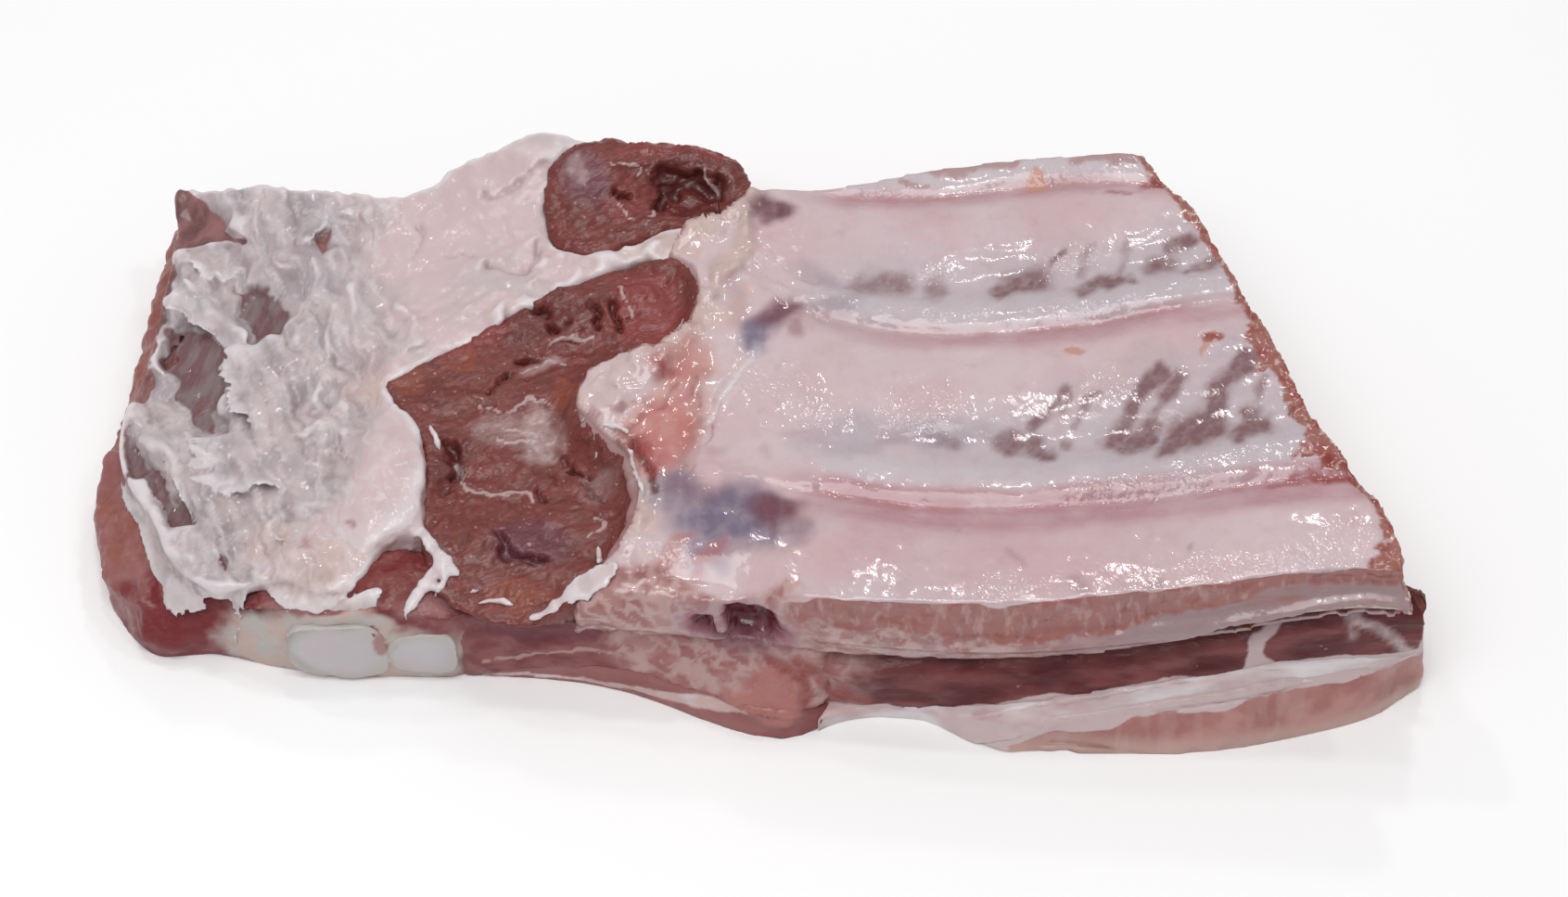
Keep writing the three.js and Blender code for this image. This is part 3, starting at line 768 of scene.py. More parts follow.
# Meat that shows through the membrane, as soft strokes: width, strength, then points.
MEAT_STROKES = [
    (6.4, 0.66, (20.6, 22.4), (26.4, 22.2)),
    (3.0, 0.55, (20.2, 24.8), (20.6, 24.4)),
    (5, 0.65, (33.4, 21.6), (33.6, 20.8)),
    (6.4, 0.82, (47.6, 21.4), (51.6, 22)),
    (3.2, 0.85, (44.3, 19.4), (47, 20.6)),
    (1.6, 0.75, (54.4, 25.1), (56.6, 27.9)),
    (3.8, 0.9, (59.9, 18.4), (60.9, 19.2)),
    (4.8, 1, (64, 19.4), (66, 20.1)),
    (2, 0.8, (66, 19.6), (68.6, 18.8)),
    (2, 0.4, (59.9, 22.9), (61.9, 27.2)),
    (2, 0.45, (66.9, 23.1), (68.9, 27.9)),
    (5, 1, (73.2, 21.9), (75, 22.2)),
    (3, 0.95, (75.4, 26.2), (77.8, 27), (80.1, 27.9)),
    (1.7, 0.75, (78.2, 19.9), (80.6, 20.8)),
    (3, 0.9, (80.8, 21), (83.4, 22.6)),
    (3, 0.6, (32.4, -12.4), (35.2, -14.2)),
    (4.6, 0.85, (44.6, -14.2), (48.9, -15)),
    (3.6, 0.95, (48.9, -15), (51.8, -17.6)),
    (2.1, 0.8, (49.9, -12), (53.2, -8.4), (56.3, -4.8)),
    (2.1, 0.75, (56.8, -11.5), (59.1, -8.7), (61.4, -5.9)),
    (2.6, 0.75, (55, -15), (55.6, -15.2)),
    (4.4, 1, (63.4, -15.8), (65.2, -12.3)),
    (3.3, 1, (65.2, -12.3), (67.2, -8.5)),
    (3.3, 1.15, (67.2, -8.5), (70, -4.7), (72.4, -2.4)),
    (4.8, 1, (65, -17.4), (67.6, -15.5), (70.2, -13.4)),
    (3.7, 1, (72.8, -7.4), (75.6, -3.6)),
    (1.8, 0.7, (71.2, -11.5), (72.4, -7.9)),
    (4.6, 1, (72.4, -18), (75.3, -16)),
    (8.2, 1, (76.6, -15.2), (79.4, -13.8)),
    (4.4, 1.2, (80.7, -11.6), (82.4, -7.1), (85.3, -2.3), (87.4, -0.7)),
    (5.2, 1, (85.2, -16.2), (89, -14.6)),
    (3.8, 0.95, (87.6, -14), (87.4, -11.4)),
    (2.2, 0.6, (88.6, -8.3), (89.9, -5.1)),
]
DULL_SPOTS = [
    (0.9, 0.6, (34.4, -33), (34.6, -33.4)), (1.4, 0.5, (44.3, -39.4), (44.6, -40)),
    (1.2, 0.6, (75.8, -40.7), (76, -41)), (2.4, 0.5, (54.5, -44.5), (56.5, -46)),
    (2, 0.6, (68.5, -46.5), (70, -47.5)), (3, 0.3, (14, 19), (17, 17)), (2.5, 0.25, (24, -12), (27, -13)),
    (2, 0.4, (-6.2, -14), (-5.6, -14.6)), (2, 0.35, (2, -15), (3, -15.4)),
]
# Purple-red and blue-grey patches at the rib roots: strength, then across, up, wide, deep, turn.
RED_BRUISES = [
    (1, 5, -27.8, 5.4, 3.9, -0.15), (0.35, -10.5, -21.6, 7, 2.8, -0.15), (0.95, 5, 17, 4.2, 3.4, 0.9),
    (0.95, 3.3, 41.6, 3.4, 3, -0.6), (0.5, 8.6, 12.8, 1.4, 2.4, 0.2),
]
BLUE_BRUISES = [
    (1, -3.5, -28.6, 10, 7, -0.12), (0.75, -11.5, -23.6, 6.4, 4.8, -0.3), (0.7, -6.5, -34.6, 4, 5, 0),
    (0.5, 6, -32, 5, 3, 0), (0.95, 1.9, 12.2, 4.6, 3.2, 0.9), (0.3, 12, 26, 6, 2, -0.6),
    (0.25, 17, -11, 9, 4, 0), (0.3, 32, -12, 11, 3.4, -0.1), (0.25, 14, 18, 6, 2, 0),
]
WET_STREAKS = [(2.2, 0.9, (-5, -1), (0.5, 8)), (1.8, 0.7, (-7, -6), (-3, 0))]
SALMON_FAT = [(0.95, -14.5, -8, 6.5, 9.5, -0.3), (0.7, -11, 3, 4, 6.5, -0.3), (0.7, -17, -15, 5, 5, 0)]
DULL_GROOVES = [
    (4, 0.6, (-9.5, 1.5), (-9, -5), (-11, -12), (-12.5, -17)),
    (3, 0.5, (1.5, 46), (-0.5, 38), (-1.5, 32)),
    (3, 0.45, (-6, 27), (-3, 21), (-1.5, 15)),
]
RED_FLUSHES = [
    (3, 0.7, (-15, -39), (-11.5, -33)), (2.6, 0.8, (-8.5, -39.5), (-5, -35.5)),
    (4.6, 0.7, (-16, 4.6), (-13, 5)), (3, 0.5, (-14, 4.5), (-11.5, 8), (-10, 13)),
    (5, 0.8, (-19.6, -11), (-17.6, -16)),
]
BLOOD_SPOTS = [
    (2.6, 0.9, (-16, 4.6), (-14.6, 3.6)), (2.4, 0.8, (-19.4, -11), (-18.4, -14)),
    (1.4, 0.7, (-18.2, -15), (-17, -19)), (2, 0.9, (72, 41.2), (75.5, 42)),
    (1, 0.7, (65, 40.2), (69, 40)), (2.2, 0.9, (97, -26), (103, -26.6)),
    (1.4, 0.7, (90, -27.2), (98, -26.2)), (1.4, 0.9, (96, -20), (100, -23)),
    (1.6, 0.6, (81.4, 4.4), (82.4, 4)),
]
ROOT_CRACK = (1.1, (-21.2, -9.7), (-18.8, -15), (-16.4, -22.8))
THIN_VEINS = [
    (0.9, (-20.5, -2.8), (-18.1, -2.6), (-15.1, -4.5), (-12.7, 0.7)),
    (0.9, (-18.8, -6.3), (-21.5, -8.4), (-23.2, -9.3)),
    (0.8, (-9.3, 2), (-9.6, -0.6), (-9, -4)),
]
SPECKS = [(53, 44.6, 2.0, 2.4), (57.4, 4.2, 1.9, 0.9), (81.8, 4, 1.6, 1.3), (79.8, 1.8, 0.7, 1.2)]
REAR_STAINS = [
    (2.4, (24, 49.5), (38, 48.5), (48, 49)), (2.2, (60, 48.6), (72, 48.2)), (1.2, (14, 49.5), (22, 48)),
    (1, (28, 46.5), (33, 45.6)),
]
# Where the wet membrane is finely wrinkled and glistens: across, up, wide, deep.
GLISTENING = [
    (4, 3, 7, 6), (18, 20.5, 4, 3), (33, 23.5, 5, 3), (60, 15.5, 10, 2.5), (35, 16, 14, 2),
    (88, -44, 18, 3.4), (45, -45, 7, 3), (66, -25.5, 12, 3), (30, -5, 9, 5), (7, 37, 3, 4),
    (13.5, -7.6, 4, 3), (102, -40, 6, 5), (60, 46, 9, 3), (24, 45, 6, 3), (58, 24, 5, 4), (62, -2, 6, 3),
    (78, -21, 10, 1.6), (-14, -36, 5, 3),
]
HOLE = (-1.8, 20.6, 7.8, 3.9, -0.12)
HOLE_RIM = (-2.2, 20.6, 11, 5.6, -0.12)
HANGING_SHRED = (2.0, (-5.8, 25.6), (-5.3, 22.8), (-5.1, 20.6))
TORN_BY_SAW = [(99, -23.6, 5, 4.2), (92, -3, 4, 5), (81.5, 4, 2.4, 1.6)]
# Fine lines in the membrane at the rib roots, as strokes.
ROOT_WRINKLES = [
    (0.9, (7 + 1.5 * i, -12.5 - 0.5 * i), (13.5 + 1.5 * i, -19.5 - 0.5 * i)) for i in range(7)
]
ROOT_ARCS = [
    (1, (3, -8), (7, -10.5), (11, -9), (13, -4), (12, 2)),
    (0.9, (5, -6), (8.5, -8), (10.5, -4), (10, 1)),
]
ROOT_CREASE = (1.6, (0, 7), (-4.5, 0.5), (-9, -10), (-11.5, -17.8))
ROOT_BORDER = (1.6, (-11.5, -17.8), (-4, -18.4), (2.5, -20), (11, -22))
ROOT_FOLDS = [
    (1.8, (-1, 28), (3, 23.5), (7, 20), (13, 16)),
    (1.4, (0, 30), (5, 25), (10, 21)),
    (1.2, (2, 32), (7, 27), (12, 23.5)),
]


def along_ribs(x, y):
    """How far along the ribs a point lies, in step with the slanting saw cut."""
    return x + SAW_SLANT * (y + FRONT_RANGE)


def rib_phase(x, y):
    """How far a point lies from one vessel line, 0, to the next one towards the front, 1."""
    back, middle, front = (line(x) for line in VESSEL_LINES)
    lines = [back + RIB_PITCH, back, middle, front, front - RIB_PITCH]
    phase = np.zeros_like(x)
    for behind, ahead in itertools.pairwise(lines):
        between = (y <= behind) & (y > ahead)
        phase = np.where(between, (behind - y) / (behind - ahead), phase)
    return phase


def rib_side(x, y):
    """The height of the rib side above the table."""
    level = rib_side_level(along_ribs(x, y))
    swell = rib_swell(rib_phase(x, y)) * ease(x, -6, 22)
    return level + swell + mounds(np.stack([x, y], axis=1), ROOT_LUMPS)


def settle_rib_side(plate):
    """Brings the plate to the levels of the rib side, whose share it gives, and rounds the rib roots."""
    x, y, z = plate.place.T
    level = rib_side(x, y)
    top = ease(plate.normal[:, 2], 0.5, 0.8) * ease(z - level, -3, -1)
    plate.push(z=(level - z) * top)
    plate.cut_flush(share=1 - ease(x, 2, 10))
    plate.reach(z=-1.2, share=1 - ease(plate.place[:, 0], 4, 9))
    plate.feather(1.2 * (17.2 - plate.place[:, 2]) * (1 - ease(plate.place[:, 0], 4, 9)))
    x, y, z = plate.place.T
    at_root = 1 - ease(x, -8, 4)
    plate.relax(at_root * ease(z, 15, 19) * (1 - 0.8 * ease(plate.normal[:, 2], 0.7, 0.9)), 50)
    front_edge = (1 - ease(x, -2, 12)) * ease(-y, 29, 44) * ease(z, 20, 27)
    plate.push(z=-3.2 * front_edge * front_edge)
    plate.relax((1 - ease(x, 0, 10)) * ease(-y, 33, 37) * ease(z, 19, 22), 30)
    foot = ease(rib_side(x, y) - plate.place[:, 2], 0.5, 4) * ease(plate.place[:, 2], 16, 19)
    knobs = cells(plate.place, 4.5, 30)[0]
    steep = 1 - ease(plate.normal[:, 2], 0.6, 0.9)
    plate.lift((0.9 + foot * (1.2 + 1.2 * (0.5 - knobs))) * at_root * steep)
    return top


def make_rib_plate():
    nodes = ["rib_plate", "rib_bone_1", "rib_bone_2", "rib_bone_3"]
    plate = Tissue("membrane_over_ribs", nodes, sizes().plate_grain, grow=0.35)
    # The bones shape the plate, but each is handed in as a piece of its own.
    plate.nodes = ["rib_plate"]
    top = settle_rib_side(plate)
    warped = astray(plate.place, 0.9, 3.5, 11)
    x, y, z = plate.place.T
    face = plan(warped)
    front_wall = ease(-plate.normal[:, 1], 0.3, 0.7) * ease(-y, 38, 41)
    side_wall = ease(plate.normal[:, 0], 0.4, 0.7)
    right = ease(x, 2, 20)
    root = 1 - ease(warped[:, 0] - root_line(y), -1.6, 1.0)
    root = np.where(y < -19, 1 - ease(warped[:, 0] + 0.25 * (y + 37), -18, -8), root)
    crumbly = 1.7 * plate.cloud(10, 14) + 1.2 * plate.cloud(2.0, 15)
    crumbs = saw_crumb_width(y)
    saw = ease(x - saw_line(y) + crumbly * ease(crumbs, 0, 3), -crumbs - 0.9, -crumbs + 0.9)
    torn = ovals(face, TORN_BY_SAW) * ease(plate.cloud(2.4, 27), 0.0, 0.3)
    saw = np.maximum(saw, torn)

    lumps = cells(warped, (4.6, 4.6, 4.6), 5)
    between_lumps = 1 - ease(lumps[1] - lumps[0], 0.0, 0.3)
    ridge = strokes(face, ROOT_RIDGES)
    white_lump = ovals(face, WHITE_LUMPS)
    crack = stroke(face, *ROOT_CRACK)
    phase = rib_phase(x, y)
    vessel = np.minimum(phase, 1 - phase) * RIB_PITCH
    relief = 0.2 * plate.cloud((12, 7, 7), 1) + 0.05 * plate.cloud(2.2, 2)
    relief += -0.2 * (1 - ease(vessel, 0.4, 2)) * right
    relief += root * (0.5 * (0.55 - lumps[0]) + 0.35 * plate.cloud(5, 3))
    knobbly = 1.1 + 1.5 * (0.5 - lumps[0]) - 0.35 * between_lumps + 0.25 * plate.cloud(2.4, 16)
    relief += np.maximum(ridge, white_lump) * knobbly
    drawn = -0.35 * strokes(face, ROOT_WRINKLES) - 0.3 * strokes(face, ROOT_ARCS)
    drawn = drawn - 0.9 * stroke(face, *ROOT_CREASE) + 0.5 * stroke(face, *ROOT_BORDER)
    relief += drawn - 0.5 * strokes(face, ROOT_FOLDS) - 1.2 * crack
    relief += saw * (0.5 * plate.cloud(2.4, 4) + 0.35 * plate.cloud(1.3, 28) - 0.4)
    relief *= top
    scallop = plate.cloud((7, 30, 3.5), 6)
    uneven = 0.5 * plate.cloud((4, 40, 40), 19)
    over_lip = z - strip_low_level(x) + uneven
    lip = 1 - ease(np.abs(over_lip - 0.5), 0.2, 0.9)
    undercut = front_wall * ease(-over_lip, 0, 1) * ease(x, 8, 16)
    over_strip = z - strip_top_level(x)
    strip = ease(over_lip, -0.5, 0.5) * (1 - ease(over_strip - 2 * uneven, -0.8, 0.8)) * ease(x, 4, 14)
    brown = ease(x, 6, 10) * ease(over_strip, -1, 1)
    relief += front_wall * (brown * (0.5 * scallop - 0.3) + 0.3 * plate.cloud(3, 7) * (1 - strip))
    relief += side_wall * 0.35 * plate.cloud(2, 8) + 0.35 * lip * front_wall * ease(x, 8, 16)
    plate.lift(relief)
    plate.push(y=2.6 * undercut)
    plate.relax(undercut, 6)

    hollow = oval(wall(warped), *HOLE) * front_wall * (1 - 0.9 * stroke(wall(warped), *HANGING_SHRED))
    plate.push(y=5.0 * hollow * hollow)
    zones = SimpleNamespace(
        top=top, root=root, ridge=ridge, white_lump=white_lump, crack=crack, saw=saw, side_wall=side_wall,
        front_wall=front_wall, undercut=undercut, strip=strip, lip=lip, hollow=hollow,
    )
    paint_rib_plate(plate, zones)
    plate.hand_in(membrane_finish(), "membrane")


def paint_rib_plate(plate, zones):
    top, root, front_wall, hollow = zones.top, zones.root, zones.front_wall, zones.hollow
    x, y, z = plate.place.T
    face = plan(astray(plate.place, 0.9, 3.5, 11))
    far_face = plan(astray(plate.place, 1.7, 7, 21))
    right = ease(x, 2, 20)
    phase = rib_phase(x, y)
    middle_rib = ease(phase, 0.42, 0.62) * (1 - ease(phase, 0.9, 0.99))
    past_line = (phase - np.round(phase)) * RIB_PITCH + 0.8 * plate.cloud((12, 40, 40), 17)
    last_line = 1 - ease(np.abs(y - VESSEL_LINES[2](x)), 10, 16)
    white_side = ease(phase, 0.7, 0.8) * (1 - ease(phase + 0.07 * last_line, 0.9, 1.0))
    streaky = ease(plate.cloud((14, 8, 20), 18), -0.3, 0.5)
    pink = ease(past_line + 1.8 * last_line, -3.0, 0.5) * (1 - ease(past_line, 2.0, 6 + 2 * last_line))
    strands = ridges(plate.place, 0.9, 7, 0.95, 25)
    lobes = plate.cloud((2.4, 2.4, 9), 26)
    meat = soft_strokes(face, MEAT_STROKES, 1.45)
    wider = [(2.2 * width + 3, strength, *points) for width, strength, *points in MEAT_STROKES]
    halo = soft_strokes(face, wider)
    upright = plate.cloud((1.1, 7, 9), 29)
    upper_edge = brown_top_level(x) + 0.9 * plate.cloud((7, 40, 40), 9)
    brown_zone = front_wall * ease(x, 2, 9) * (1 - ease(z - upper_edge, -0.8, 0.8))
    stray = plate.cloud(6, 10)
    marbled = ease(-y - 2 * stray - 6 * ease(x, -15, -4), 36, 40) * (1 - ease(x + 4 * stray, 2, 12))
    root_soft = np.maximum(root, 0.5 * (1 - ease(x - root_line(y), 0, 4)) * (y > -19))
    plate.paint(
        bluish=middle_rib * right * top,
        ridge=white_side * right * top,
        meat=meat * (1.1 + 0.3 * lobes) * (1 - 0.2 * strands) * top,
        halo=halo * top,
        spots=soft_strokes(far_face, DULL_SPOTS) * top,
        vessel=(1 - ease(np.abs(past_line), 0.1, 1.6)) * streaky * right * top * (0.7 + 0.3 * last_line),
        flush=pink * (0.6 + 0.3 * streaky + 1.0 * last_line) * right * top,
        front_rib=(1 - ease(y - VESSEL_LINES[2](x), -6, -1)) * (1 - 0.7 * ease(x, 55, 85)) * right * top,
        root=root * top,
        groove=soft_strokes(far_face, DULL_GROOVES) * top,
        ridge_fat=zones.ridge * np.maximum(top, 1 - ease(x, -8, 4)),
        white_lump=zones.white_lump * top,
        salmon=soft_ovals(far_face, SALMON_FAT) * root_soft * top * (1 - 0.8 * zones.white_lump),
        blood=soft_strokes(face, BLOOD_SPOTS) * top,
        bruise_red=soft_ovals(far_face, RED_BRUISES) * (1 + 0.1 * upright) * top,
        bruise_blue=soft_ovals(far_face, BLUE_BRUISES) * (1 + 0.12 * upright) * top,
        streak=soft_strokes(face, WET_STREAKS) * top,
        red_flush=soft_strokes(far_face, RED_FLUSHES) * top,
        vein=strokes(face, THIN_VEINS) * top,
        crack=zones.crack * top,
        foot=(1 - ease(x, -8, 4)) * (1 - ease(plate.normal[:, 2], 0.5, 0.9)) * (y > -36),
        speck=ovals(face, SPECKS) * top,
        stain=strokes(face, REAR_STAINS) * ease(y, 42, 46),
        glisten=ovals(far_face, GLISTENING) * top,
        brown=brown_zone,
        strip=zones.strip * front_wall,
        lip=zones.lip * front_wall * ease(x, 6, 14) * (1 - 0.7 * ease(x, 58, 70)),
        under=zones.undercut,
        marbled=marbled,
        strand=strand_gaps(plate.place),
        hole=ease(hollow, 0.25, 0.75),
        hole_edge=ease(hollow, 0.03, 0.25),
        worn=1 - ease(x, 44, 66),
        hole_rim=oval(wall(plate.place), *HOLE_RIM) * front_wall,
        saw=np.maximum(zones.saw * top, zones.side_wall),
        rear=ease(plate.normal[:, 1], 0.4, 0.8) * ease(y, 40, 44) * (1 - top),
    )


def membrane_finish():
    c = colours()
    f = Finish("wet_membrane")
    skin = f.mix(f.clouds(0.35, 0.65, 16, 3), c.membrane, c.membrane_pink)
    skin = f.coats(
        skin,
        (f.clouds(0.45, 0.75, 22, 2), 0.4, c.cream),
        (f.painted("front_rib", 0.4, 12), 0.3, c.vessel),
        (f.painted("bluish", 0.4, 9), 0.6, c.ridge),
        (f.painted("flush", 0.35, 7), 0.9, c.vessel),
        (f.painted("ridge", 0.3, 5), 0.8, c.ridge),
        (f.clouds(0.5, 0.8, 0.8, 3, (7, 1, 1), 0.15), 0.25, c.ridge),
        (f.painted("halo", 0.3, 3), 0.65, c.meat_halo),
        (f.painted("meat", 0.2, 1.4), 1.0, c.meat_through),
        (f.painted("spots"), 0.6, c.meat_through),
        (f.painted("vessel", 0.6, 2.5), 0.5, c.vessel_red),
    )
    fat = f.mix(f.clouds(0.35, 0.65, 6, 4), c.cream, c.membrane)
    skin = f.coats(
        skin,
        (f.painted("root", 0.1, 2), 1.0, fat),
        (f.painted("groove", 0.3, 3), 1.0, c.groove),
        (f.painted("ridge_fat", 0.4, 3), 0.75, c.fat_yellow),
        (f.painted("salmon", 0.3, 4), 0.9, c.salmon),
        (f.painted("white_lump", 0.5, 3), 0.8, c.fat_pink),
        (f.painted("bruise_blue", 0.2, 2.5), 1.0, c.bruise_blue),
        (f.painted("bruise_red", 0.15, 2.5), 1.0, c.bruise_red),
        (f.painted("streak", 0.5, 1.5), 0.6, c.fat_white),
        (f.painted("red_flush", 0.4, 2), 0.7, c.blood_flush),
        (f.painted("vein", 0.5, 2), 0.45, c.skirt),
        (f.painted("crack"), 0.85, c.skirt_dark_and_shade),
        (f.zone("foot", 3, 0.9, 0.5), 0.45, c.skirt_pale),
        (f.zone("stain", 3, 0.9, 0.5), 0.6, c.brown_strip),
        (f.zone("speck", 1.2, 1.0, 0.4), 0.85, c.speck),
    )
    brown = f.mix(f.clouds(0.4, 0.62, 5, 4), c.brown_strip, c.brisket)
    brown = f.over(brown, f.clouds(0.5, 0.7, 1.6, 4, (1, 1, 2.5)), 0.5, c.brisket_fat)
    brown = f.over(brown, f.clouds(0.55, 0.75, 1.2, 3, (1, 1, 3), 0.3), 0.35, c.flank)
    skin = f.mix(f.zone("brown", 1.5, 0.3, 0.15), skin, brown)
    bone = f.mix(f.clouds(0.5, 0.8, 5, 3, (4, 1, 1)), c.bone_strip, c.brown_strip)
    worn = f.mix(f.clouds(0.42, 0.6, 2.2, 4, (1.5, 1, 1)), c.brisket_fat, c.brown_strip)
    worn = f.over(worn, f.clouds(0.56, 0.7, 1.1, 3), 0.6, c.cream)
    bone = f.over(bone, f.painted("worn", 0.5, 3), 0.8, worn)
    skin = f.mix(f.zone("strip", 1.5, 0.6, 0.35), skin, bone)
    skin = f.over(skin, f.zone("lip", 2, 0.8, 0.5), 0.6, c.brisket_fat)
    skin = f.mix(f.zone("under", 2, 0.4, 0.3), skin, c.flank)
    skin = f.mix(f.zone("marbled", 4, 0.8, 0.5), skin, strand_colour(f))
    skin = f.over(skin, f.painted("hole_rim", 0.5, 3), 0.65, c.bruise_pale)
    skin = f.over(skin, f.painted("hole_edge", 0.3, 2), 0.85, c.hole_edge)
    inside = f.mix(f.clouds(0.4, 0.65, 2.4, 3), c.hole, c.purple_lean)
    skin = f.mix(f.painted("hole", 0.3, 1.5), skin, inside)
    streaky = f.clouds(0.5, 0.7, 2.4, 4, (4, 1, 1))
    rear = f.over(f.mix(f.clouds(0.4, 0.6, 8, 4), brown, c.brisket), streaky, 0.5, c.cream)
    skin = f.mix(f.zone("rear", 3, 0.5), skin, rear)
    crumbs = f.mix(f.clouds(0.42, 0.62, 2.2, 4), c.saw_crumb, c.brown_strip)
    crumbs = f.over(crumbs, f.clouds(0.5, 0.65, 5, 3), 0.65, c.blood)
    crumbs = f.over(crumbs, f.clouds(0.55, 0.7, 1.8, 3), 0.75, c.cream)
    skin = f.mix(f.zone("saw", 1.2, 0.8, 0.4), skin, crumbs)
    skin = f.over(skin, f.painted("blood", 0.5, 1.6), 0.9, c.blood)
    wrinkled = f.sums("ADD", f.painted("glisten"), f.range(f.noise(9, 2), 0.58, 0.7, 0.05, 0.5))
    f.add_relief(f.sums("MULTIPLY", f.noise(1.0, 2, (1.5, 1, 1), 0.9), wrinkled), 0.2)
    f.add_relief(f.noise(6, 2), 0.25)
    f.add_relief(f.noise(0.7, 2, (2.2, 1, 1), 0.9), 0.04)
    roughness = f.range(f.noise(5, 3), 0.3, 0.7, 0.22, 0.42)
    return f.done(skin, roughness, wet=0.75, flesh=0.2)


# The sawn rib bones

def make_rib_bones():
    for number in (1, 2, 3):
        node = f"rib_bone_{number}"
        bone = Tissue(f"sawn_rib_{number}", [node], sizes().bone_grain, grow=0.0)
        x, y, z = bone.place.T
        end = ease(bone.normal[:, 0], 0.6, 0.8) * ease(x - saw_line(y), -3, -1)
        bone.lift(end * (0.4 + 0.2 * bone.cloud(1.5, 20 + number)) - 0.9 * (1 - end))
        middle = z[end > 0.5].mean()
        centre = y[end > 0.5].mean()
        spread = np.hypot((y - centre) / 6.5, (z - middle) / 3.4)
        bone.paint(marrow=end * (1 - ease(spread, 0.55, 0.85)))
        bone.hand_in(bone_finish(), "bone")


def bone_finish():
    c = colours()
    f = Finish("sawn_bone")
    hard = f.mix(f.clouds(0.4, 0.65, 3, 3), c.bone, c.cream)
    spongy = f.mix(f.range(f.fleck(0.7), 0.2, 0.5), c.blood, c.marrow)
    f.add_relief(f.fleck(0.8), 0.3)
    return f.done(f.mix(f.zone("marrow", 1.2, 0.3), hard, spongy), 0.45, wet=0.3)


# The breast fat and its torn sheets

FAT_CRACKS = [
    (1.0, (-49.5, 48), (-47, 48.3), (-43.5, 49.5), (-41, 50.7), (-38.5, 52.2)),
    (0.8, (-56, 34.8), (-54, 35.5), (-51, 35)),
    (1.0, (-49.5, 32), (-47, 31.2), (-43, 30.4), (-41.3, 31.6), (-40.2, 34.7), (-40.3, 37.2)),
    (0.7, (-62, 44), (-61.5, 40), (-62.5, 36)),
]
# Folds of the film over the hollow at the left, as strokes.
FILM_FOLDS = [
    (2.6, (-81, 33), (-77.6, 24), (-77.8, 17.7), (-74.8, 13.3)),
    (2.2, (-73.4, 33), (-73, 23.6), (-70.5, 17.2), (-69.6, 9.3)),
    (2.0, (-69, 20.6), (-68, 15.3), (-62.9, 13.1), (-59.7, 16.3)),
    (2.4, (-81.5, -5), (-77, -4), (-72.6, -4.4)),
    (2.6, (-94.8, 41.4), (-92.2, 36.6), (-93.3, 31.9), (-88.4, 26.6), (-85.8, 21)),
    (2.6, (-91, 40.2), (-84.7, 33.5), (-81.2, 26), (-81.2, 17)),
    (2.0, (-64.3, 23.7), (-61.2, 18.2), (-63, 15)),
    (2.2, (-78.2, 4.2), (-76.6, 10), (-73, 8), (-73, 0.3)),
    (2.0, (-84, -25), (-83, -21.4), (-80.2, -20.7), (-74.8, -20.4)),
]
# Hollows between the folds: across, up, wide, deep, turn.
HOLLOWS = [
    (-88.5, 38, 5.5, 3, -0.3), (-76.5, 29.5, 2.6, 4), (-84, 4, 3, 5.5), (-74, 41, 4.5, 3.5, -0.7),
    (-94, 36, 2.6, 4, 0.3), (-79, 24, 1.8, 6), (-75.5, 5, 1.6, 4.5), (-80, -1, 2, 3),
    (-85, 30, 3, 4, 0.5),
]
# Deep hollows where lean shines through the film, as outlines.
FILMED_LEAN = [
    [(-96, 30.5), (-91, 31), (-87, 28), (-85, 22.5), (-86, 19.5), (-89.5, 20.5), (-91.5, 17.5),
     (-93.5, 22)],
    [(-108, 25), (-101, 22), (-96.5, 17), (-97, 12), (-95.5, 8), (-97.5, 4.5), (-96, -2.5), (-100, 1.5),
     (-104.5, 10), (-108, 17)],
    [(-113, 2), (-110, -3.5), (-105.5, -7.5), (-104, -12), (-101, -16.5), (-97.5, -21.5), (-102.5, -23),
     (-105, -15.5), (-109, -9.5), (-113, -8.5)],
]
# Gaps between the sheets, where bare lean shows, as outlines.
BARE_LEAN = [
    [(-112, 57), (-106, 54.5), (-103.5, 53), (-97.5, 44), (-95.3, 41.5), (-101, 41.2), (-108, 40),
     (-113, 40)],
    [(-108.3, 41), (-107.4, 31), (-109, 24), (-109.4, 17.7), (-109.4, 11), (-110.5, 6.5), (-122, 8),
     (-122, 41)],
    [(-94.2, -26.8), (-92.6, -27.6), (-90.6, -31.8), (-91.6, -32)],
    [(-81.2, 43), (-79.4, 43.6), (-78.6, 39), (-79.6, 35), (-80.8, 38)],
]
PALE_LOBES = [
    (-62, -14, 8, 14, -0.1), (-71, -27, 9, 6), (-47, 45, 14, 11, 0.5), (-60, 38, 11, 10),
    (-30, 33, 16, 3, 0.1),
]
YELLOW_LOBES = [(-76, -34, 9, 7), (-84, -27, 5, 4), (-66, 6, 7, 4, 0.5), (-15, 33, 9, 6)]
RED_DOTS = [(1.3, 0.9, (-69.3, -25.3), (-69, -25.7)), (1.8, 0.6, (-76.5, -26.8), (-77.3, -28.6))]

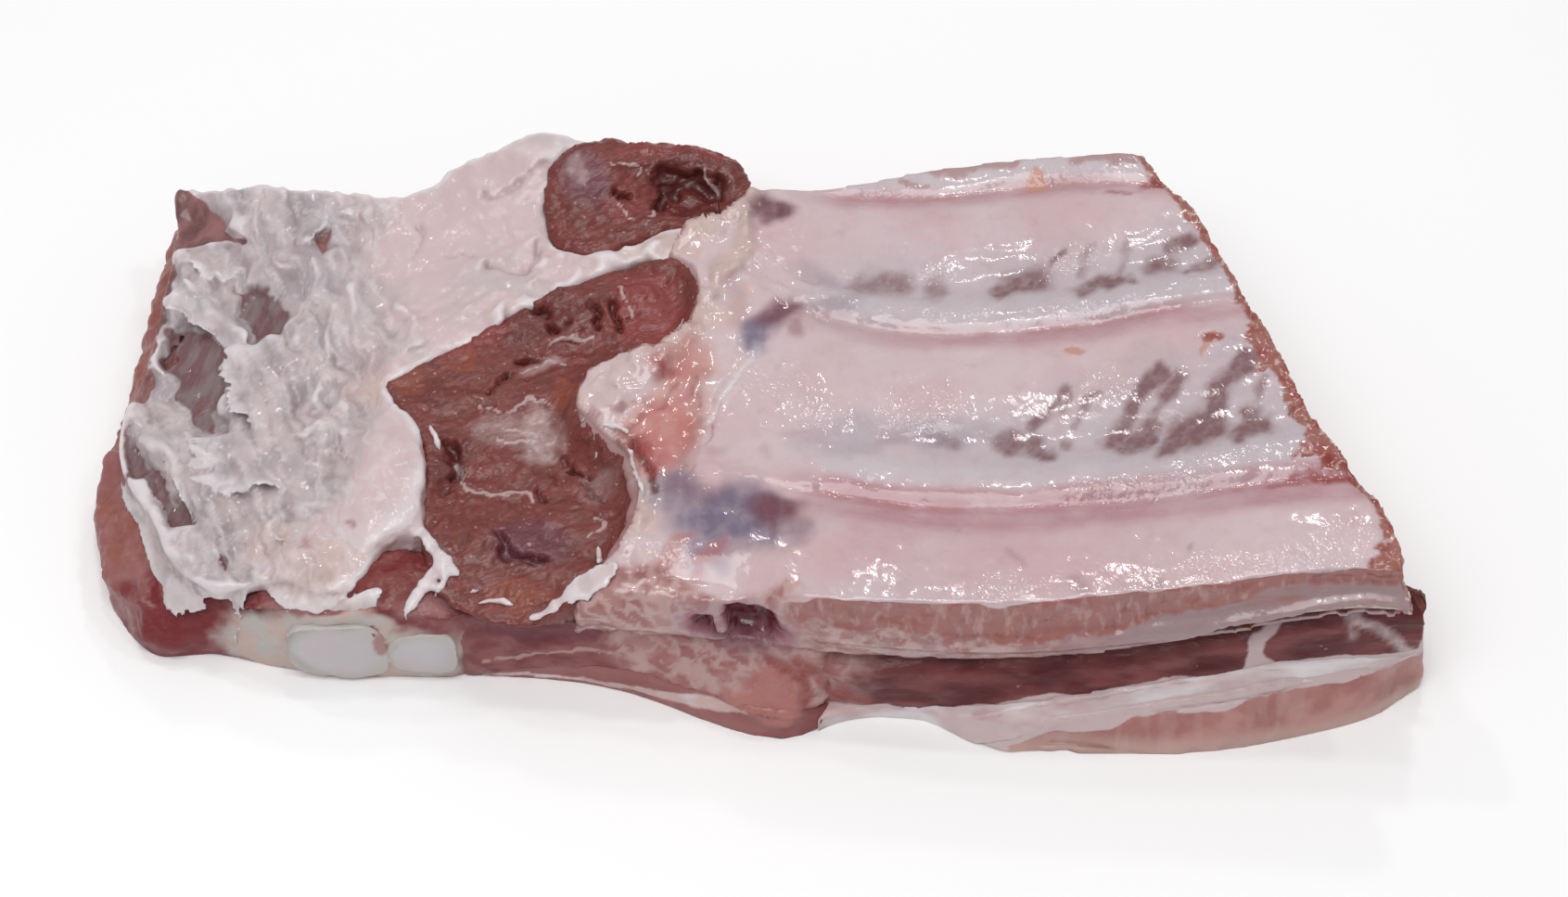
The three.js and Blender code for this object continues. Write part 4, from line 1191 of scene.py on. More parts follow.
# Torn sheets of the fat: outline, the way their free rim points in degrees, its lift and the thickness.
TORN_SHEETS = {
    "back_flap": (
        [(-86.6, 46.1), (-82.4, 49), (-79.6, 49.5), (-80.3, 44.6), (-80.6, 41.3), (-81.4, 37.2),
         (-84.5, 39.3)],
        -40, 3.4, 1.0,
    ),
    "back_curl": ([(-79.4, 47.5), (-75, 47.2), (-74.4, 44.6), (-77, 45.4), (-79, 44.8)], -40, 1.8, 0.9),
    "corner_flap": (
        [(-109.5, 39.5), (-101, 41.4), (-95, 41), (-93.8, 38.7), (-94.9, 35), (-98, 31.8), (-103.2, 34)],
        260, 2.2, 1.0,
    ),
    "ragged_flap": (
        [(-108.5, 29), (-106, 31.5), (-106.4, 33.5), (-101, 32), (-98, 28), (-94.5, 23), (-92.2, 19.4),
         (-93, 16), (-96.3, 16.8), (-98.5, 19.3), (-101.4, 22), (-105, 24.5), (-108.5, 26)],
        225, 3.6, 1.0,
    ),
    "hollow_sheet": (
        [(-97.3, 16.5), (-92.5, 16.5), (-89.2, 19.2), (-84.4, 17.4), (-80.2, 12.2), (-77.5, 9),
         (-81.9, 6), (-80.5, 2), (-83.1, -2.2), (-89.4, -2.8), (-94.5, 1), (-96.5, 8)],
        170, 3.0, 1.0,
    ),
    "low_sheet": (
        [(-101.4, -4.2), (-97.8, -2.8), (-91.4, -2.8), (-81.5, -5), (-74, -6), (-71.4, -11),
         (-73.7, -17.4), (-77, -20), (-81.8, -17), (-88.7, -17.4), (-94.9, -16), (-99.3, -13)],
        215, 3.2, 1.0,
    ),
    "left_strip": (
        [(-114, 5.5), (-108.2, 4), (-104.4, -4), (-100.1, -11.5), (-95.8, -20), (-92.7, -24.8),
         (-91, -30.5), (-94.7, -25.9), (-98.5, -20.9), (-102.6, -14.6), (-106.9, -6.3), (-113, -1.5)],
        215, 2.6, 1.0,
    ),
    "left_flap": (
        [(-115.5, -4.5), (-111.5, -8.8), (-107.9, -10), (-103.5, -18.7), (-102.4, -22), (-97.6, -22.7),
         (-93.7, -26.7), (-92.4, -33), (-96.5, -36.4), (-101.4, -36), (-105.2, -31.5), (-107.5, -24),
         (-109.4, -18.5), (-113, -12.5)],
        230, 1.8, 1.4,
    ),
    "front_lobe": (
        [(-86.2, -34), (-80.5, -39.6), (-75.1, -41), (-72, -39.6), (-67.9, -37.6), (-68.2, -31.7),
         (-77.2, -25), (-85.3, -25), (-88, -29.8)],
        270, 0.8, 1.8,
    ),
    "round_lobe": (
        [(-71.9, -3), (-65.3, -0.8), (-60.5, -3), (-58.2, -8), (-57.2, -13.5), (-57.6, -21.7),
         (-59.8, -26), (-64, -28.6), (-67.3, -31.2), (-73, -27), (-77, -21), (-73, -13)],
        320, 0.9, 2.4,
    ),
    "small_flap": (
        [(-83.5, -24.5), (-80.5, -21.5), (-78.5, -22.5), (-81.5, -28), (-84, -28.5)],
        200, 2.6, 0.9,
    ),
    "torn_tuft": (
        [(-93, -31.5), (-90.8, -32), (-88, -34.8), (-87.2, -37), (-89.5, -38.2), (-91.5, -35.6)],
        280, 2.0, 1.0,
    ),
    "upright_flap": (
        [(-102.5, -0.4), (-100.4, -1.2), (-97.4, -6.6), (-98.6, -7.6), (-101, -4.8)],
        200, 3.0, 0.9,
    ),
    "cream_wedge": (
        [(-73.7, -40.9), (-73.2, -38.6), (-68.6, -37.4), (-63.3, -36.8), (-64.2, -40), (-66.5, -42),
         (-71.9, -41.8)],
        280, 0.2, 1.2,
    ),
}
# Loose white shreds: width, then points.
WHITE_SHREDS = [
    (3.0, (-61, -27.6), (-57, -27.2), (-54.4, -30.6), (-52.6, -33), (-49.8, -35)),
    (2.6, (-54.6, -31.5), (-55.6, -35), (-58, -38.5), (-60.2, -42)),
    (1.6, (-53.5, -33), (-53, -36), (-55, -38)),
    (2.8, (-26, -39.4), (-29, -40.3), (-33, -41.2), (-38.5, -43)),
    (5.4, (-22.4, -37.6), (-25.5, -38.8), (-29, -40), (-32.4, -41.2)),
    (1.8, (-24.5, -36.8), (-28, -37.4), (-31.5, -39)),
    (1.4, (-26.5, -7.5), (-23.5, -8), (-21, -9.5)),
    (0.9, (-27.4, -9.5), (-27.2, -13)),
    (1.2, (-22.8, -10.5), (-20.9, -14), (-19.6, -19), (-18, -25)),
    (0.9, (-30.5, -5.5), (-27.5, -4.5)),
    (0.8, (-16, 12), (-12.5, 17), (-11.6, 21)),
    (1.2, (-47.6, -39.8), (-45.3, -39), (-42.6, -39.2), (-40.9, -40.1), (-39.7, -41)),
    (1.7, (-26.6, -28.6), (-26.2, -31), (-26.2, -33.2)),
    (1.3, (-57.6, -3), (-56.3, -5.5), (-55.2, -8.6)),
    (0.7, (-49, -38), (-48, -37.2), (-46.6, -37)),
    (0.6, (-52.5, 7.5), (-51, 5.5), (-51.5, 3)),
    (0.8, (-92, -36), (-90.6, -38.5), (-90.4, -40.2)),
]


FILM_THICKNESS = 1.1
RIM_LEVEL = 9.0
ABOVE_SLAB = 100.0


def patches(face, outlines, soft):
    return np.max([patch(face, outline, soft) for outline in outlines], axis=0)


def make_breast_fat():
    fat = Tissue("torn_breast_fat", ["breast_fat"], sizes().fat_grain, smoothing=16, grow=0.35)
    x, y, z = fat.place.T
    top = ease(fat.normal[:, 2], 0.1, 0.5)
    warped = astray(fat.place, 1.3, 4, 40)
    face = plan(warped)
    pale = ovals(face, PALE_LOBES)
    by_skirt = ease(x, -74, -60) * ease(y, -6, 4)
    low = 1 - ease(y, -10, -2)
    basin = (1 - by_skirt) * (1 - low)
    film = basin * ridges(warped, 4, 26, -1.3, 47) + by_skirt * ridges(warped, 4, 18, 0.6, 48)
    film += low * ridges(warped, 4.5, 20, -0.3, 49)
    fine = ridges(warped, 1.9, 12, -1.2, 50) * (1 - by_skirt) + ridges(warped, 1.9, 12, 0.7, 51) * by_skirt
    film = (film + 0.5 * fine) * (1 - 0.8 * pale)
    lobules = cells(warped, (4.5, 4.5, 9), 44)
    relief = 0.6 * (film - 0.5) + 0.7 * strokes(face, FILM_FOLDS) - 0.6 * ovals(face, HOLLOWS)
    relief += 0.8 * pale * (0.5 - lobules[0]) + 0.5 * fat.cloud(12, 46)
    bared = 1.8 * patches(face, BARE_LEAN, 0.8) * (1 - ease(y, 48, 53))
    relief += -bared - 2.6 * patches(face, FILMED_LEAN, 1.6)
    relief += -1.1 * strokes(face, FAT_CRACKS)
    arm = ease(x, -56, -46) * (1 - ease(y, 38, 42))
    relief += 1.4 * arm * (0.5 - lobules[0]) + 0.5 * arm * fat.cloud(2.5, 52)
    fat.lift(relief * np.maximum(top, 0.3))
    x, y, z = fat.place.T
    beside_skirt = (1 - ease(fat.normal[:, 2], 0.3, 0.7)) * ease(x, -68, -62) * ease(z, 14, 18)
    fat.lift(beside_skirt * (0.3 + 0.7 * fat.cloud(4, 53)))
    keep_above(fat, "breast_lean_cut", patches(face, FILMED_LEAN, 1.0) * top)

    below = ("breast_lean_cut", "front_skirt", "membrane_over_ribs")
    ground_tree = surface_of([fat.piece.data] + [bpy.data.objects[name].data for name in below])
    sheets = [
        lay_sheet(name, *settings, ground_tree, 60 + 5 * number)
        for number, (name, settings) in enumerate(TORN_SHEETS.items())
    ]
    sheets += [
        lay_shred(f"shred_{number}", course, ground_tree, 200 + number)
        for number, course in enumerate(WHITE_SHREDS)
    ]
    on_sheet, rim = fat.grow_into(sheets, sizes().fat_grain, ("sheet", "rim"))
    paint_breast_fat(fat, on_sheet, rim)
    fat.hand_in(fat_finish(), "breast_fat")


def keep_above(tissue, name, share):
    """Lifts the points of a zone that would sink under another piece."""
    tree = surface_of([bpy.data.objects[name].data])
    height = tissue.place[:, 2].copy()
    for i in np.flatnonzero(share > 0.05):
        height[i] = max(height[i], height_under(tree, *tissue.place[i, :2]) + FILM_THICKNESS)
    tissue.push(z=(height - tissue.place[:, 2]) * ease(share, 0.05, 0.4))


def paint_breast_fat(fat, on_sheet, rim):
    x = fat.place[:, 0]
    top = ease(fat.normal[:, 2], 0.1, 0.5)
    warped = astray(fat.place, 1.3, 4, 40)
    face = plan(warped)
    bare = 1 - on_sheet
    below = fat.hollows(60)
    pale = ovals(face, PALE_LOBES)
    fat.paint(
        lean=patches(face, BARE_LEAN, 0.7) * bare * np.maximum(top, ease(-x, 105, 108)),
        filmed=patches(face, FILMED_LEAN, 1.2) * bare,
        pale=pale,
        yellow=ovals(face, YELLOW_LOBES),
        # Painted shade: the fat is darkened where its skin lies below the smoothed skin, in its hollows.
        hollow=ease(below, -0.1, 0.8) * (1 - 0.6 * pale),
        # White torn rims of the sheets, and a painted highlight on the convex crests of the skin.
        crest=np.maximum(ease(-below, 0.1, 0.8), 0.8 * rim * on_sheet),
        crack=strokes(face, FAT_CRACKS),
        blood=soft_strokes(face, RED_DOTS) * top,
        grey=ease(-x, 62, 84) * (1 - 0.5 * pale),
        streak=ridges(warped, 1.6, 16, -1.2, 54) * ease(-x, 58, 70),
        shade=ridges(warped, 2.6, 24, -1.25, 57) * ease(-x, 60, 74) * (1 - 0.5 * on_sheet) * (1 - pale),
    )


def fat_finish():
    c = colours()
    f = Finish("torn_fat")
    skin = f.mix(f.clouds(0.35, 0.65, 9, 4), c.fat, c.fat_pink)
    grey = f.mix(f.clouds(0.35, 0.65, 7, 4), c.fat_grey, c.fat)
    skin = f.coats(
        skin,
        (f.zone("grey", 8, 0.9, 0.5), 0.75, grey),
        # Painted shade in the hollows of the fat.
        (f.zone("hollow", 3, 0.4, 0.5), 0.5, c.film_over_lean_and_shade),
        (f.zone("pale", 5, 0.6, 0.4), 0.75, c.fat_pink),
        (f.zone("yellow", 4, 0.7, 0.4), 0.7, c.fat_yellow),
        (f.painted("shade", 0.7, 5), 0.6, c.film_over_lean_and_shade),
        (f.painted("streak", 0.6, 4), 0.5, c.fat_white),
        # Painted highlight on the crests, over the white rims of the sheets.
        (f.zone("crest", 2, 0.5, 0.5), 0.8, c.fat_white),
        (f.painted("crack", 0.8, 3), 0.4, c.groove),
    )
    strands = f.clouds(0.4, 0.65, 1.6, 3, (1, 5, 1), 0.35)
    filmed = f.mix(strands, c.lean_filmed, c.film_over_lean_and_shade)
    skin = f.over(skin, f.zone("filmed", 2.0, 0.6, 0.3), 0.95, filmed)
    lean = f.mix(f.clouds(0.4, 0.62, 4, 4, (1, 3, 1), 0.4), c.lean, c.lean_filmed)
    lean = f.over(lean, f.clouds(0.55, 0.75, 1.2, 3, (1, 3, 1), 0.4), 0.5, c.film_over_lean_and_shade)
    skin = f.mix(f.zone("lean", 1.2, 0.5, 0.25), skin, lean)
    skin = f.over(skin, f.painted("blood", 0.3, 1), 0.7, c.blood)
    wrinkled = f.range(f.noise(8, 2), 0.55, 0.7, 0.1, 1.0)
    f.add_relief(f.sums("MULTIPLY", f.noise(0.9, 3), wrinkled), 0.14)
    f.add_relief(f.noise(3, 4, twist=1.0), 0.22)
    roughness = f.gloss(6, 0.28, 0.5)
    return f.done(skin, roughness, wet=0.45, flesh=0.3, depth=1.5)


def outline_reach(outline, angle):
    """How far an outline lies from its middle at each angle, and where the middle is."""
    points = np.array(outline, float)
    middle = points.mean(axis=0)
    closed = np.concatenate([points, points[:1]])
    fine = np.concatenate([np.linspace(a, b, 12, endpoint=False) for a, b in itertools.pairwise(closed)])
    arms = fine - middle
    turns = np.arctan2(arms[:, 1], arms[:, 0])
    order = np.argsort(turns)
    return middle, np.interp(angle, turns[order], np.hypot(*arms[order].T), period=2 * math.pi)


def smooth_ground(spots, ground):
    """The ground under a sheet with its small bumps taken out, as a curved surface fitted to it."""
    x, y = (spots - spots.mean(axis=0)).T
    terms = np.stack([x * 0 + 1, x, y, x * x, x * y, y * y], axis=1)
    return terms @ np.linalg.lstsq(terms, ground, rcond=None)[0]


def height_under(tree, x, y):
    """The height of the skin under a plan point, or of the rim level beside the slab."""
    hit = tree.ray_cast(Vector((x * MM, y * MM, ABOVE_SLAB * MM)), Vector((0, 0, -1)))[0]
    return hit.z / MM if hit else RIM_LEVEL


def ball_of_fat(name, segments, rings):
    """A ball of radius 1 to be drawn out into a sheet or a shred, and the places of its points."""
    bpy.ops.object.select_all(action="DESELECT")
    bpy.ops.mesh.primitive_uv_sphere_add(segments=segments, ring_count=rings, radius=1)
    ball = bpy.context.object
    ball.name = name
    return ball, points_of(ball.data)


def lay_sheet(name, outline, free_way, lift, thickness, ground_tree, seed):
    """One thin ragged sheet: sunk in at its hinge and lifted at its free rim."""
    sheet, ball = ball_of_fat(name, 128, 40)
    share = np.hypot(ball[:, 0], ball[:, 1])
    angle = np.arctan2(ball[:, 1], ball[:, 0])
    middle, reach = outline_reach(outline, angle)
    around = np.stack([np.cos(angle), np.sin(angle), 0 * angle], axis=1) * reach[:, None]
    thin = thickness < 1.3
    ragged = (0.8 * cloud(around, 4, seed) + 0.3 * cloud(around, 1.4, seed + 1)) * (1 if thin else 0.5)
    arm = (reach + ragged) * share
    spots = middle + np.stack([arm * np.cos(angle), arm * np.sin(angle)], axis=1)
    ground = np.array([height_under(ground_tree, *spot) for spot in spots])
    place = np.column_stack([spots, blend(ground, smooth_ground(spots, ground), 0.6)])
    free = 0.5 + 0.5 * np.cos(angle - math.radians(free_way))
    rim = ease(share, 0.35, 1.0)
    curl = 0.7 + 0.6 * cloud(around, 5, seed + 2)
    rise = rim * (lift * free * curl - 2.0 * (1 - free) ** 2) + 0.4 * cloud(place, 5, seed + 3) - 0.1
    edge = np.maximum(np.sqrt(np.clip(1 - share ** 4, 0, 1)), 0.25)
    place[:, 2] += rise + 0.5 * thickness * np.sign(ball[:, 2]) * edge * (1 - 0.3 * rim * thin)
    move_points(sheet.data, place)
    mark(sheet.data, sheet=1 - 0.7 * rim * (1 - free) ** 2, rim=rim * free)
    return sheet


def lay_shred(name, course, ground_tree, seed):
    """A loose white shred along a course of (width, point, point, ...), thickest in its middle."""
    width, *points = course
    shred, ball = ball_of_fat(name, 20, 48)
    line = np.array(points, float)
    along = np.concatenate([[0], np.cumsum(np.linalg.norm(np.diff(line, axis=0), axis=1))])
    share = (0.5 + 0.5 * ball[:, 2]) * along[-1]
    middle = np.stack([np.interp(share, along, line[:, axis]) for axis in (0, 1)], axis=1)
    run = np.gradient(line, axis=0)
    run = np.stack([np.interp(share, along, run[:, axis]) for axis in (0, 1)], axis=1)
    side = np.stack([-run[:, 1], run[:, 0]], axis=1) / np.linalg.norm(run, axis=1)[:, None]
    ground = np.array([height_under(ground_tree, *spot) for spot in middle])
    uneven = 1 + 0.35 * cloud(np.column_stack([middle, 0 * share]), 1.2, seed)
    place = np.column_stack([middle + side * (0.5 * width * uneven * ball[:, 0])[:, None], ground])
    thick = min(width, 1.6)
    place[:, 2] += 0.2 * thick + 0.5 * thick * uneven * ball[:, 1]
    move_points(shred.data, place)
    mark(shred.data, sheet=np.ones(len(place)), rim=0.35 * np.ones(len(place)))
    return shred


# The skirt muscles

# Pits and threads are strokes, film and dark are soft ovals, and the others are ovals. The dark ovals are
# painted shade over the deep hollows of the muscle.
FRONT_MARKS = SimpleNamespace(
    pits=[
        (2.2, (-39.8, 22.2), (-38, 21)), (1.8, (-36.4, 18.2), (-35.4, 17.4)),
        (1.2, (-42, 12.5), (-39, 13)), (1.6, (-54, -7), (-52.5, -13)),
        (1.0, (-37.5, -17.5), (-36.5, -18.5)), (1.0, (-30, 22), (-28.5, 18)), (0.9, (-47, 4), (-43, 8)),
        (0.7, (-30, -16), (-26, -19)), (0.7, (-33, -11), (-28, -14)), (1.2, (-25.5, 22), (-24.5, 17)),
        (1.3, (-44, -26), (-41, -30.5), (-35, -31.5)),
    ],
    threads=[
        (0.5, (-51, 0.4), (-44, 0.3), (-36.6, 0.8)),
        (0.9, (-53, -10.2), (-50.8, -14), (-48.3, -16.3), (-44, -16.6), (-40, -16.3), (-38.5, -18.8)),
        (0.6, (-44, -3), (-38, -6)), (0.5, (-45, -5.5), (-40, -7.5)),
        (0.5, (-28, -22), (-26, -25), (-27.5, -28)), (0.6, (-36, 14), (-33, 16.5), (-30, 15.5)),
        (0.5, (-24, 24), (-22, 19)), (0.5, (-41, 9), (-36, 10.6), (-33, 9)),
    ],
    film=[
        (1, -37.6, -5.6, 3.6, 4.8, 0.2), (0.55, -43.5, -3.8, 6, 3.2, -0.15),
        (0.6, -37, 9.8, 3.6, 1.4, 0.1), (0.35, -27, -16, 4, 3, 0.4),
    ],
    orange=[(-62, 6.3, 4.5, 3, 0.5), (-33.5, 2.5, 3, 4), (-38, -38, 7, 2.6), (-53, 11, 3.5, 1.6, 0.5)],
    purple=[(-38, -28, 6.5, 4.2, -0.2)],
    red=[(-19, 21, 7, 8), (-50, 16, 6, 4, 0.5)],
    dark=[
        (0.7, -37, 20, 9, 4, 0.5), (0.8, -53.5, -12, 3, 7, 0), (0.5, -38, -29, 8, 4, -0.2),
        (0.5, -58, 3, 5, 3, 0),
    ],
)
BACK_MARKS = SimpleNamespace(
    pits=[
        (3.0, (-16.5, 49.5), (-6, 48.6)), (1.8, (-17.2, 48.5), (-17, 44)), (1.0, (-7, 45), (-6, 42)),
        (0.7, (-26, 47), (-22, 45)),
    ],
    threads=[
        (0.5, (-27, 51.5), (-22, 52.5), (-20, 50)), (0.5, (-24, 44), (-22, 41)),
        (0.5, (-20, 40.5), (-18, 43)), (0.5, (-9, 52), (-7, 49)),
    ],
    film=[(0.6, -33, 51, 2.4, 2.4, 0)],
    orange=[(-14, 57, 3, 1)],
    purple=[(-32.5, 49, 4.8, 6, 0.3)],
    red=[(-12, 55, 14, 2), (-22, 45, 7, 4)],
    dark=[(0.9, -12, 47.5, 10, 6, 0), (0.5, -24, 44, 8, 5, 0)],
)


def make_skirt(name, node, seed, marks):
    skirt = Tissue(name, [node], sizes().muscle_grain, smoothing=10, grow=0.4)
    top = ease(skirt.normal[:, 2], 0.0, 0.4)
    rise_to_neighbours(skirt, top)
    warped = astray(skirt.place, 1.5, 4, seed)
    face = plan(warped)
    bundles = cells(warped, (8, 3.4, 3.4), seed + 3)
    split = ease(bundles[1] - bundles[0], 0.0, 0.25)
    fibres = ridges(warped, 1.3, 8, 0.45, seed + 7)
    pit = strokes(face, marks.pits)
    thread = strokes(face, marks.threads)
    filmed = soft_ovals(face, marks.film) * (0.55 + 0.45 * ridges(warped, 1.2, 9, 0.1, seed + 8))
    relief = 0.25 * cloud(warped, (5, 3, 3), seed + 4) + 0.12 * skirt.cloud(1.3, seed + 5)
    relief += 0.2 * split - 0.1 + 0.32 * fibres + 0.45 * skirt.cloud(9, seed + 6)
    relief += -2.2 * pit + 0.25 * thread
    skirt.lift(relief * (0.35 + 0.65 * top) * (1 - 0.6 * filmed))
    skirt.paint(
        # Painted shade: the pits and the creases between muscle bundles are darkened.
        pit=np.maximum(pit, 0.35 * (1 - split)),
        fibre=fibres,
        thread=thread,
        film=filmed,
        orange=ovals(face, marks.orange),
        purple=ovals(face, marks.purple),
        red=ovals(face, marks.red),
        # Painted shade over the deep hollows of the muscle.
        dark=soft_ovals(face, marks.dark),
    )
    skirt.hand_in(skirt_finish(name), "skirt")


def rise_to_neighbours(skirt, top):
    """Swells the rim of a skirt up to the edges of the fat and of the rib plate around it."""
    x, y, z = skirt.place.T
    for node, level, width in (("breast_fat", z + 1.4, 3), ("rib_plate", rib_side(x, y) - 0.8, 3.6)):
        tree = surface_of([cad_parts[node].data])
        gap = np.array([tree.find_nearest(Vector(spot))[3] for spot in skirt.place * MM]) / MM
        rise = np.clip(level - skirt.place[:, 2], 0, 6) * ease(z, 12, 16)
        skirt.push(z=rise * top * np.exp(-(gap / width) ** 2))


def make_skirts():
    make_skirt("front_skirt", "skirt_front", 80, FRONT_MARKS)
    make_skirt("back_skirt", "skirt_back", 90, BACK_MARKS)


def skirt_finish(name):
    c = colours()
    f = Finish(name + "_meat")
    flesh = f.mix(f.clouds(0.38, 0.66, 5, 4), c.skirt, c.skirt_brown)
    flesh = f.mix(f.range(f.noise(1.1, 3, (3, 1, 1), -0.45), 0.45, 0.75, 0, 0.45), flesh, c.skirt_pale)
    flesh = f.coats(
        flesh,
        (f.zone("fibre", 1.5, 0.6, 0.45), 0.3, c.skirt_pale),
        (f.zone("red", 4, 0.7, 0.45), 0.7, c.skirt_red),
        (f.zone("orange", 3, 0.6, 0.4), 0.7, c.skirt_orange),
        # Painted shade in the pits and creases of the muscle.
        (f.zone("pit", 1.2, 0.5, 0.35), 0.65, c.skirt_dark_and_shade),
        (f.zone("purple", 3, 0.5, 0.4), 0.6, c.bruise_red),
        (f.clouds(0.52, 0.72, 0.7, 3, (2, 1, 1), -0.45), 0.3, c.skirt_pale),
        (f.clouds(0.56, 0.72, 0.8, 3, (3, 1, 1), -0.3), 0.4, c.skirt_dark_and_shade),
        # Painted shade over the deep hollows of the muscle.
        (f.painted("dark", 0.5, 3), 0.6, c.skirt_dark_and_shade),
        (f.painted("film", 0.35, 2), 0.95, c.skirt_film),
        (f.zone("thread", 0.9, 0.9, 0.35), 0.6, c.skirt_film),
        (f.clouds(0.66, 0.76, 0.9, 2), 0.5, c.skirt_film),
    )
    f.add_relief(f.noise(0.6, 3, (3, 1, 1), -0.45), 0.2)
    f.add_relief(f.noise(2.2, 4), 0.2)
    return f.done(flesh, f.gloss(3, 0.3, 0.5), wet=0.4, flesh=0.08)


# Lean under the breast fat, and the cartilage ends in it

GRISTLE = [(-86, 6, 7.5, 8, -0.3), (-76, 7.5, 12.5, 9), (-60, 6.5, 9.5, 8), (-70, 15, 9, 3)]
PURPLE_LEAN = [(-53, 17), (-46, 12), (-40, 9.8), (-36, 9.4), (-27, 10.4), (-25.5, 13), (-27, 17.5)]
CARTILAGE_SQUARENESS = 3.5


def cut_layer(name, node, smoothing=10):
    """One of the layers of meat and fat that the knife cut through along the front."""
    return Tissue(name, [node], sizes().layer_grain, smoothing=smoothing, grow=0.6)


def make_breast_lean():
    lean = cut_layer("breast_lean_cut", "breast_lean")
    lean.cut_flush()
    lean.reach(x=4)
    lean.feather(lean.place[:, 0] + 53)
    warped = astray(lean.place, 1.5, 5, 100)
    strands = cloud(warped, (9, 4, 4), 103)
    lump = oval(plan(warped), -62, -33.5, 8, 6.5) * ease(lean.normal[:, 2], 0.2, 0.6)
    fibres = ridges(warped, 1.7, 6, 0.8, 105)
    left_wall = ease(-lean.place[:, 0], 96, 104)
    grain = cloud(warped, (3, 3, 9), 106)
    relief = 0.45 * strands + 0.15 * lean.cloud(2, 104) + lump * (1.2 + 0.7 * fibres)
    relief += left_wall * (0.5 * grain + 0.5 * lean.cloud((9, 9, 14), 107))
    lean.lift(relief * ease(lean.place[:, 2], -1, 4))
    lean.keep_on_table()
    x, y, z = lean.place.T
    front = ease(-lean.normal[:, 1], 0.2, 0.6) * ease(-y, 30, 36)
    face = wall(warped)
    lean.paint(
        brown=ease(-x, 103, 110) * (1 - ease(-y, 20, 36)) * ease(z, 0, 6),
        gristle=ovals(face, GRISTLE) * front,
        pale=np.maximum(ease(strands, 0.1, 0.6), left_wall * ease(grain, 0.0, 0.6)),
        lump=lump,
        fibre=lump * fibres,
        red=front * (1 - ease(x, -96, -84)),
        blood=stroke(face, 2.0, (-66, 14.5), (-64.4, 11), (-64.8, 7)) * front,
        right=ease(x, -57, -53) * front,
        purple=patch(face, [(-62, 17.5), *PURPLE_LEAN], 1.0) * front,
    )
    lean.hand_in(lean_finish(), "breast_lean")


def lean_finish():
    c = colours()
    f = Finish("breast_lean_meat")
    flesh = f.mix(f.clouds(0.38, 0.62, 6, 4), c.lean_dark, c.lean)
    flesh = f.coats(
        flesh,
        (f.zone("pale", 2, 0.6, 0.4), 0.3, c.brisket),
        (f.zone("red", 4, 0.5, 0.4), 0.92, c.lean_dark),
        (f.zone("right", 4, 0.5, 0.4), 0.9, front_lean_colour(f)),
        (f.zone("purple", 3, 0.5, 0.4), 0.85, c.purple_lean),
    )
    rim = f.mix(f.clouds(0.4, 0.6, 7, 4), c.lean_brown, c.brisket)
    rim = f.over(rim, f.clouds(0.5, 0.75, 1.4, 3, (1, 1, 4)), 0.5, c.brisket_pale)
    flesh = f.coats(
        flesh,
        (f.zone("brown", 4, 0.7, 0.4), 0.85, rim),
        (f.zone("lump", 3, 0.6, 0.4), 0.75, c.skirt),
        (f.painted("fibre", 0.5, 1.5), 0.5, c.skirt_pale),
    )
    gristle = f.mix(f.clouds(0.4, 0.62, 4, 3), c.gristle, c.fat_yellow)
    flesh = f.over(flesh, f.zone("gristle", 3, 0.5, 0.4), 0.92, gristle)
    flesh = f.over(flesh, f.zone("blood", 2, 0.9, 0.4), 0.8, c.blood)
    f.add_relief(f.noise(1.0, 3, (2.2, 1, 1)), 0.2)
    f.add_relief(f.noise(3, 4), 0.3)
    return f.done(flesh, f.gloss(4, 0.32, 0.52), wet=0.2, flesh=0.1)


def make_cartilages():
    for number in (1, 2):
        node = f"cartilage_{number}"
        end = Tissue(f"cartilage_end_{number}", [node], sizes().bone_grain, smoothing=8, grow=0.5)
        low, high = (np.array(corner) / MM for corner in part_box(node))
        middle, half = (low + high) / 2, (high - low) / 2
        spread, around = section_of(end, middle, half)
        across, up = np.abs(np.cos(around)), np.abs(np.sin(around))
        corners = across ** CARTILAGE_SQUARENESS + up ** CARTILAGE_SQUARENESS
        stretch = (corners ** (-1 / CARTILAGE_SQUARENESS) - 1) * ease(spread, 0.4, 1.0)
        end.push(x=(end.place[:, 0] - middle[0]) * stretch, z=(end.place[:, 2] - middle[2]) * stretch)
        end.keep_on_table()
        end.cut_flush(proud=0.35)
        end.lift(0.12 * end.cloud(5, 110 + number))
        end.keep_on_table()
        spread, around = section_of(end, middle, half)
        end.paint(rim=ease(spread, 0.62, 1.08), blood=oval(wall(end.place), -64.6, 11, 1.2, 3))
        end.hand_in(cartilage_finish(), "cartilage")


def section_of(end, middle, half):
    """How far out, and which way, each point lies in the section of a cartilage."""
    across, depth, up = ((end.place - middle) / half).T
    return np.hypot(across, up), np.arctan2(up, across)


def cartilage_finish():
    c = colours()
    f = Finish("cut_cartilage")
    gristle = f.mix(f.clouds(0.35, 0.65, 7, 3), c.cartilage, c.ridge)
    gristle = f.over(gristle, f.painted("rim", 0.3, 3), 0.9, c.gristle)
    gristle = f.over(gristle, f.zone("blood", 1.5, 0.9, 0.4), 0.6, c.blood)
    f.add_relief(f.noise(2.5, 3), 0.1)
    return f.done(gristle, 0.36, wet=0.3, flesh=0.3, depth=1.5)


# Brisket and pectoral meat in the middle

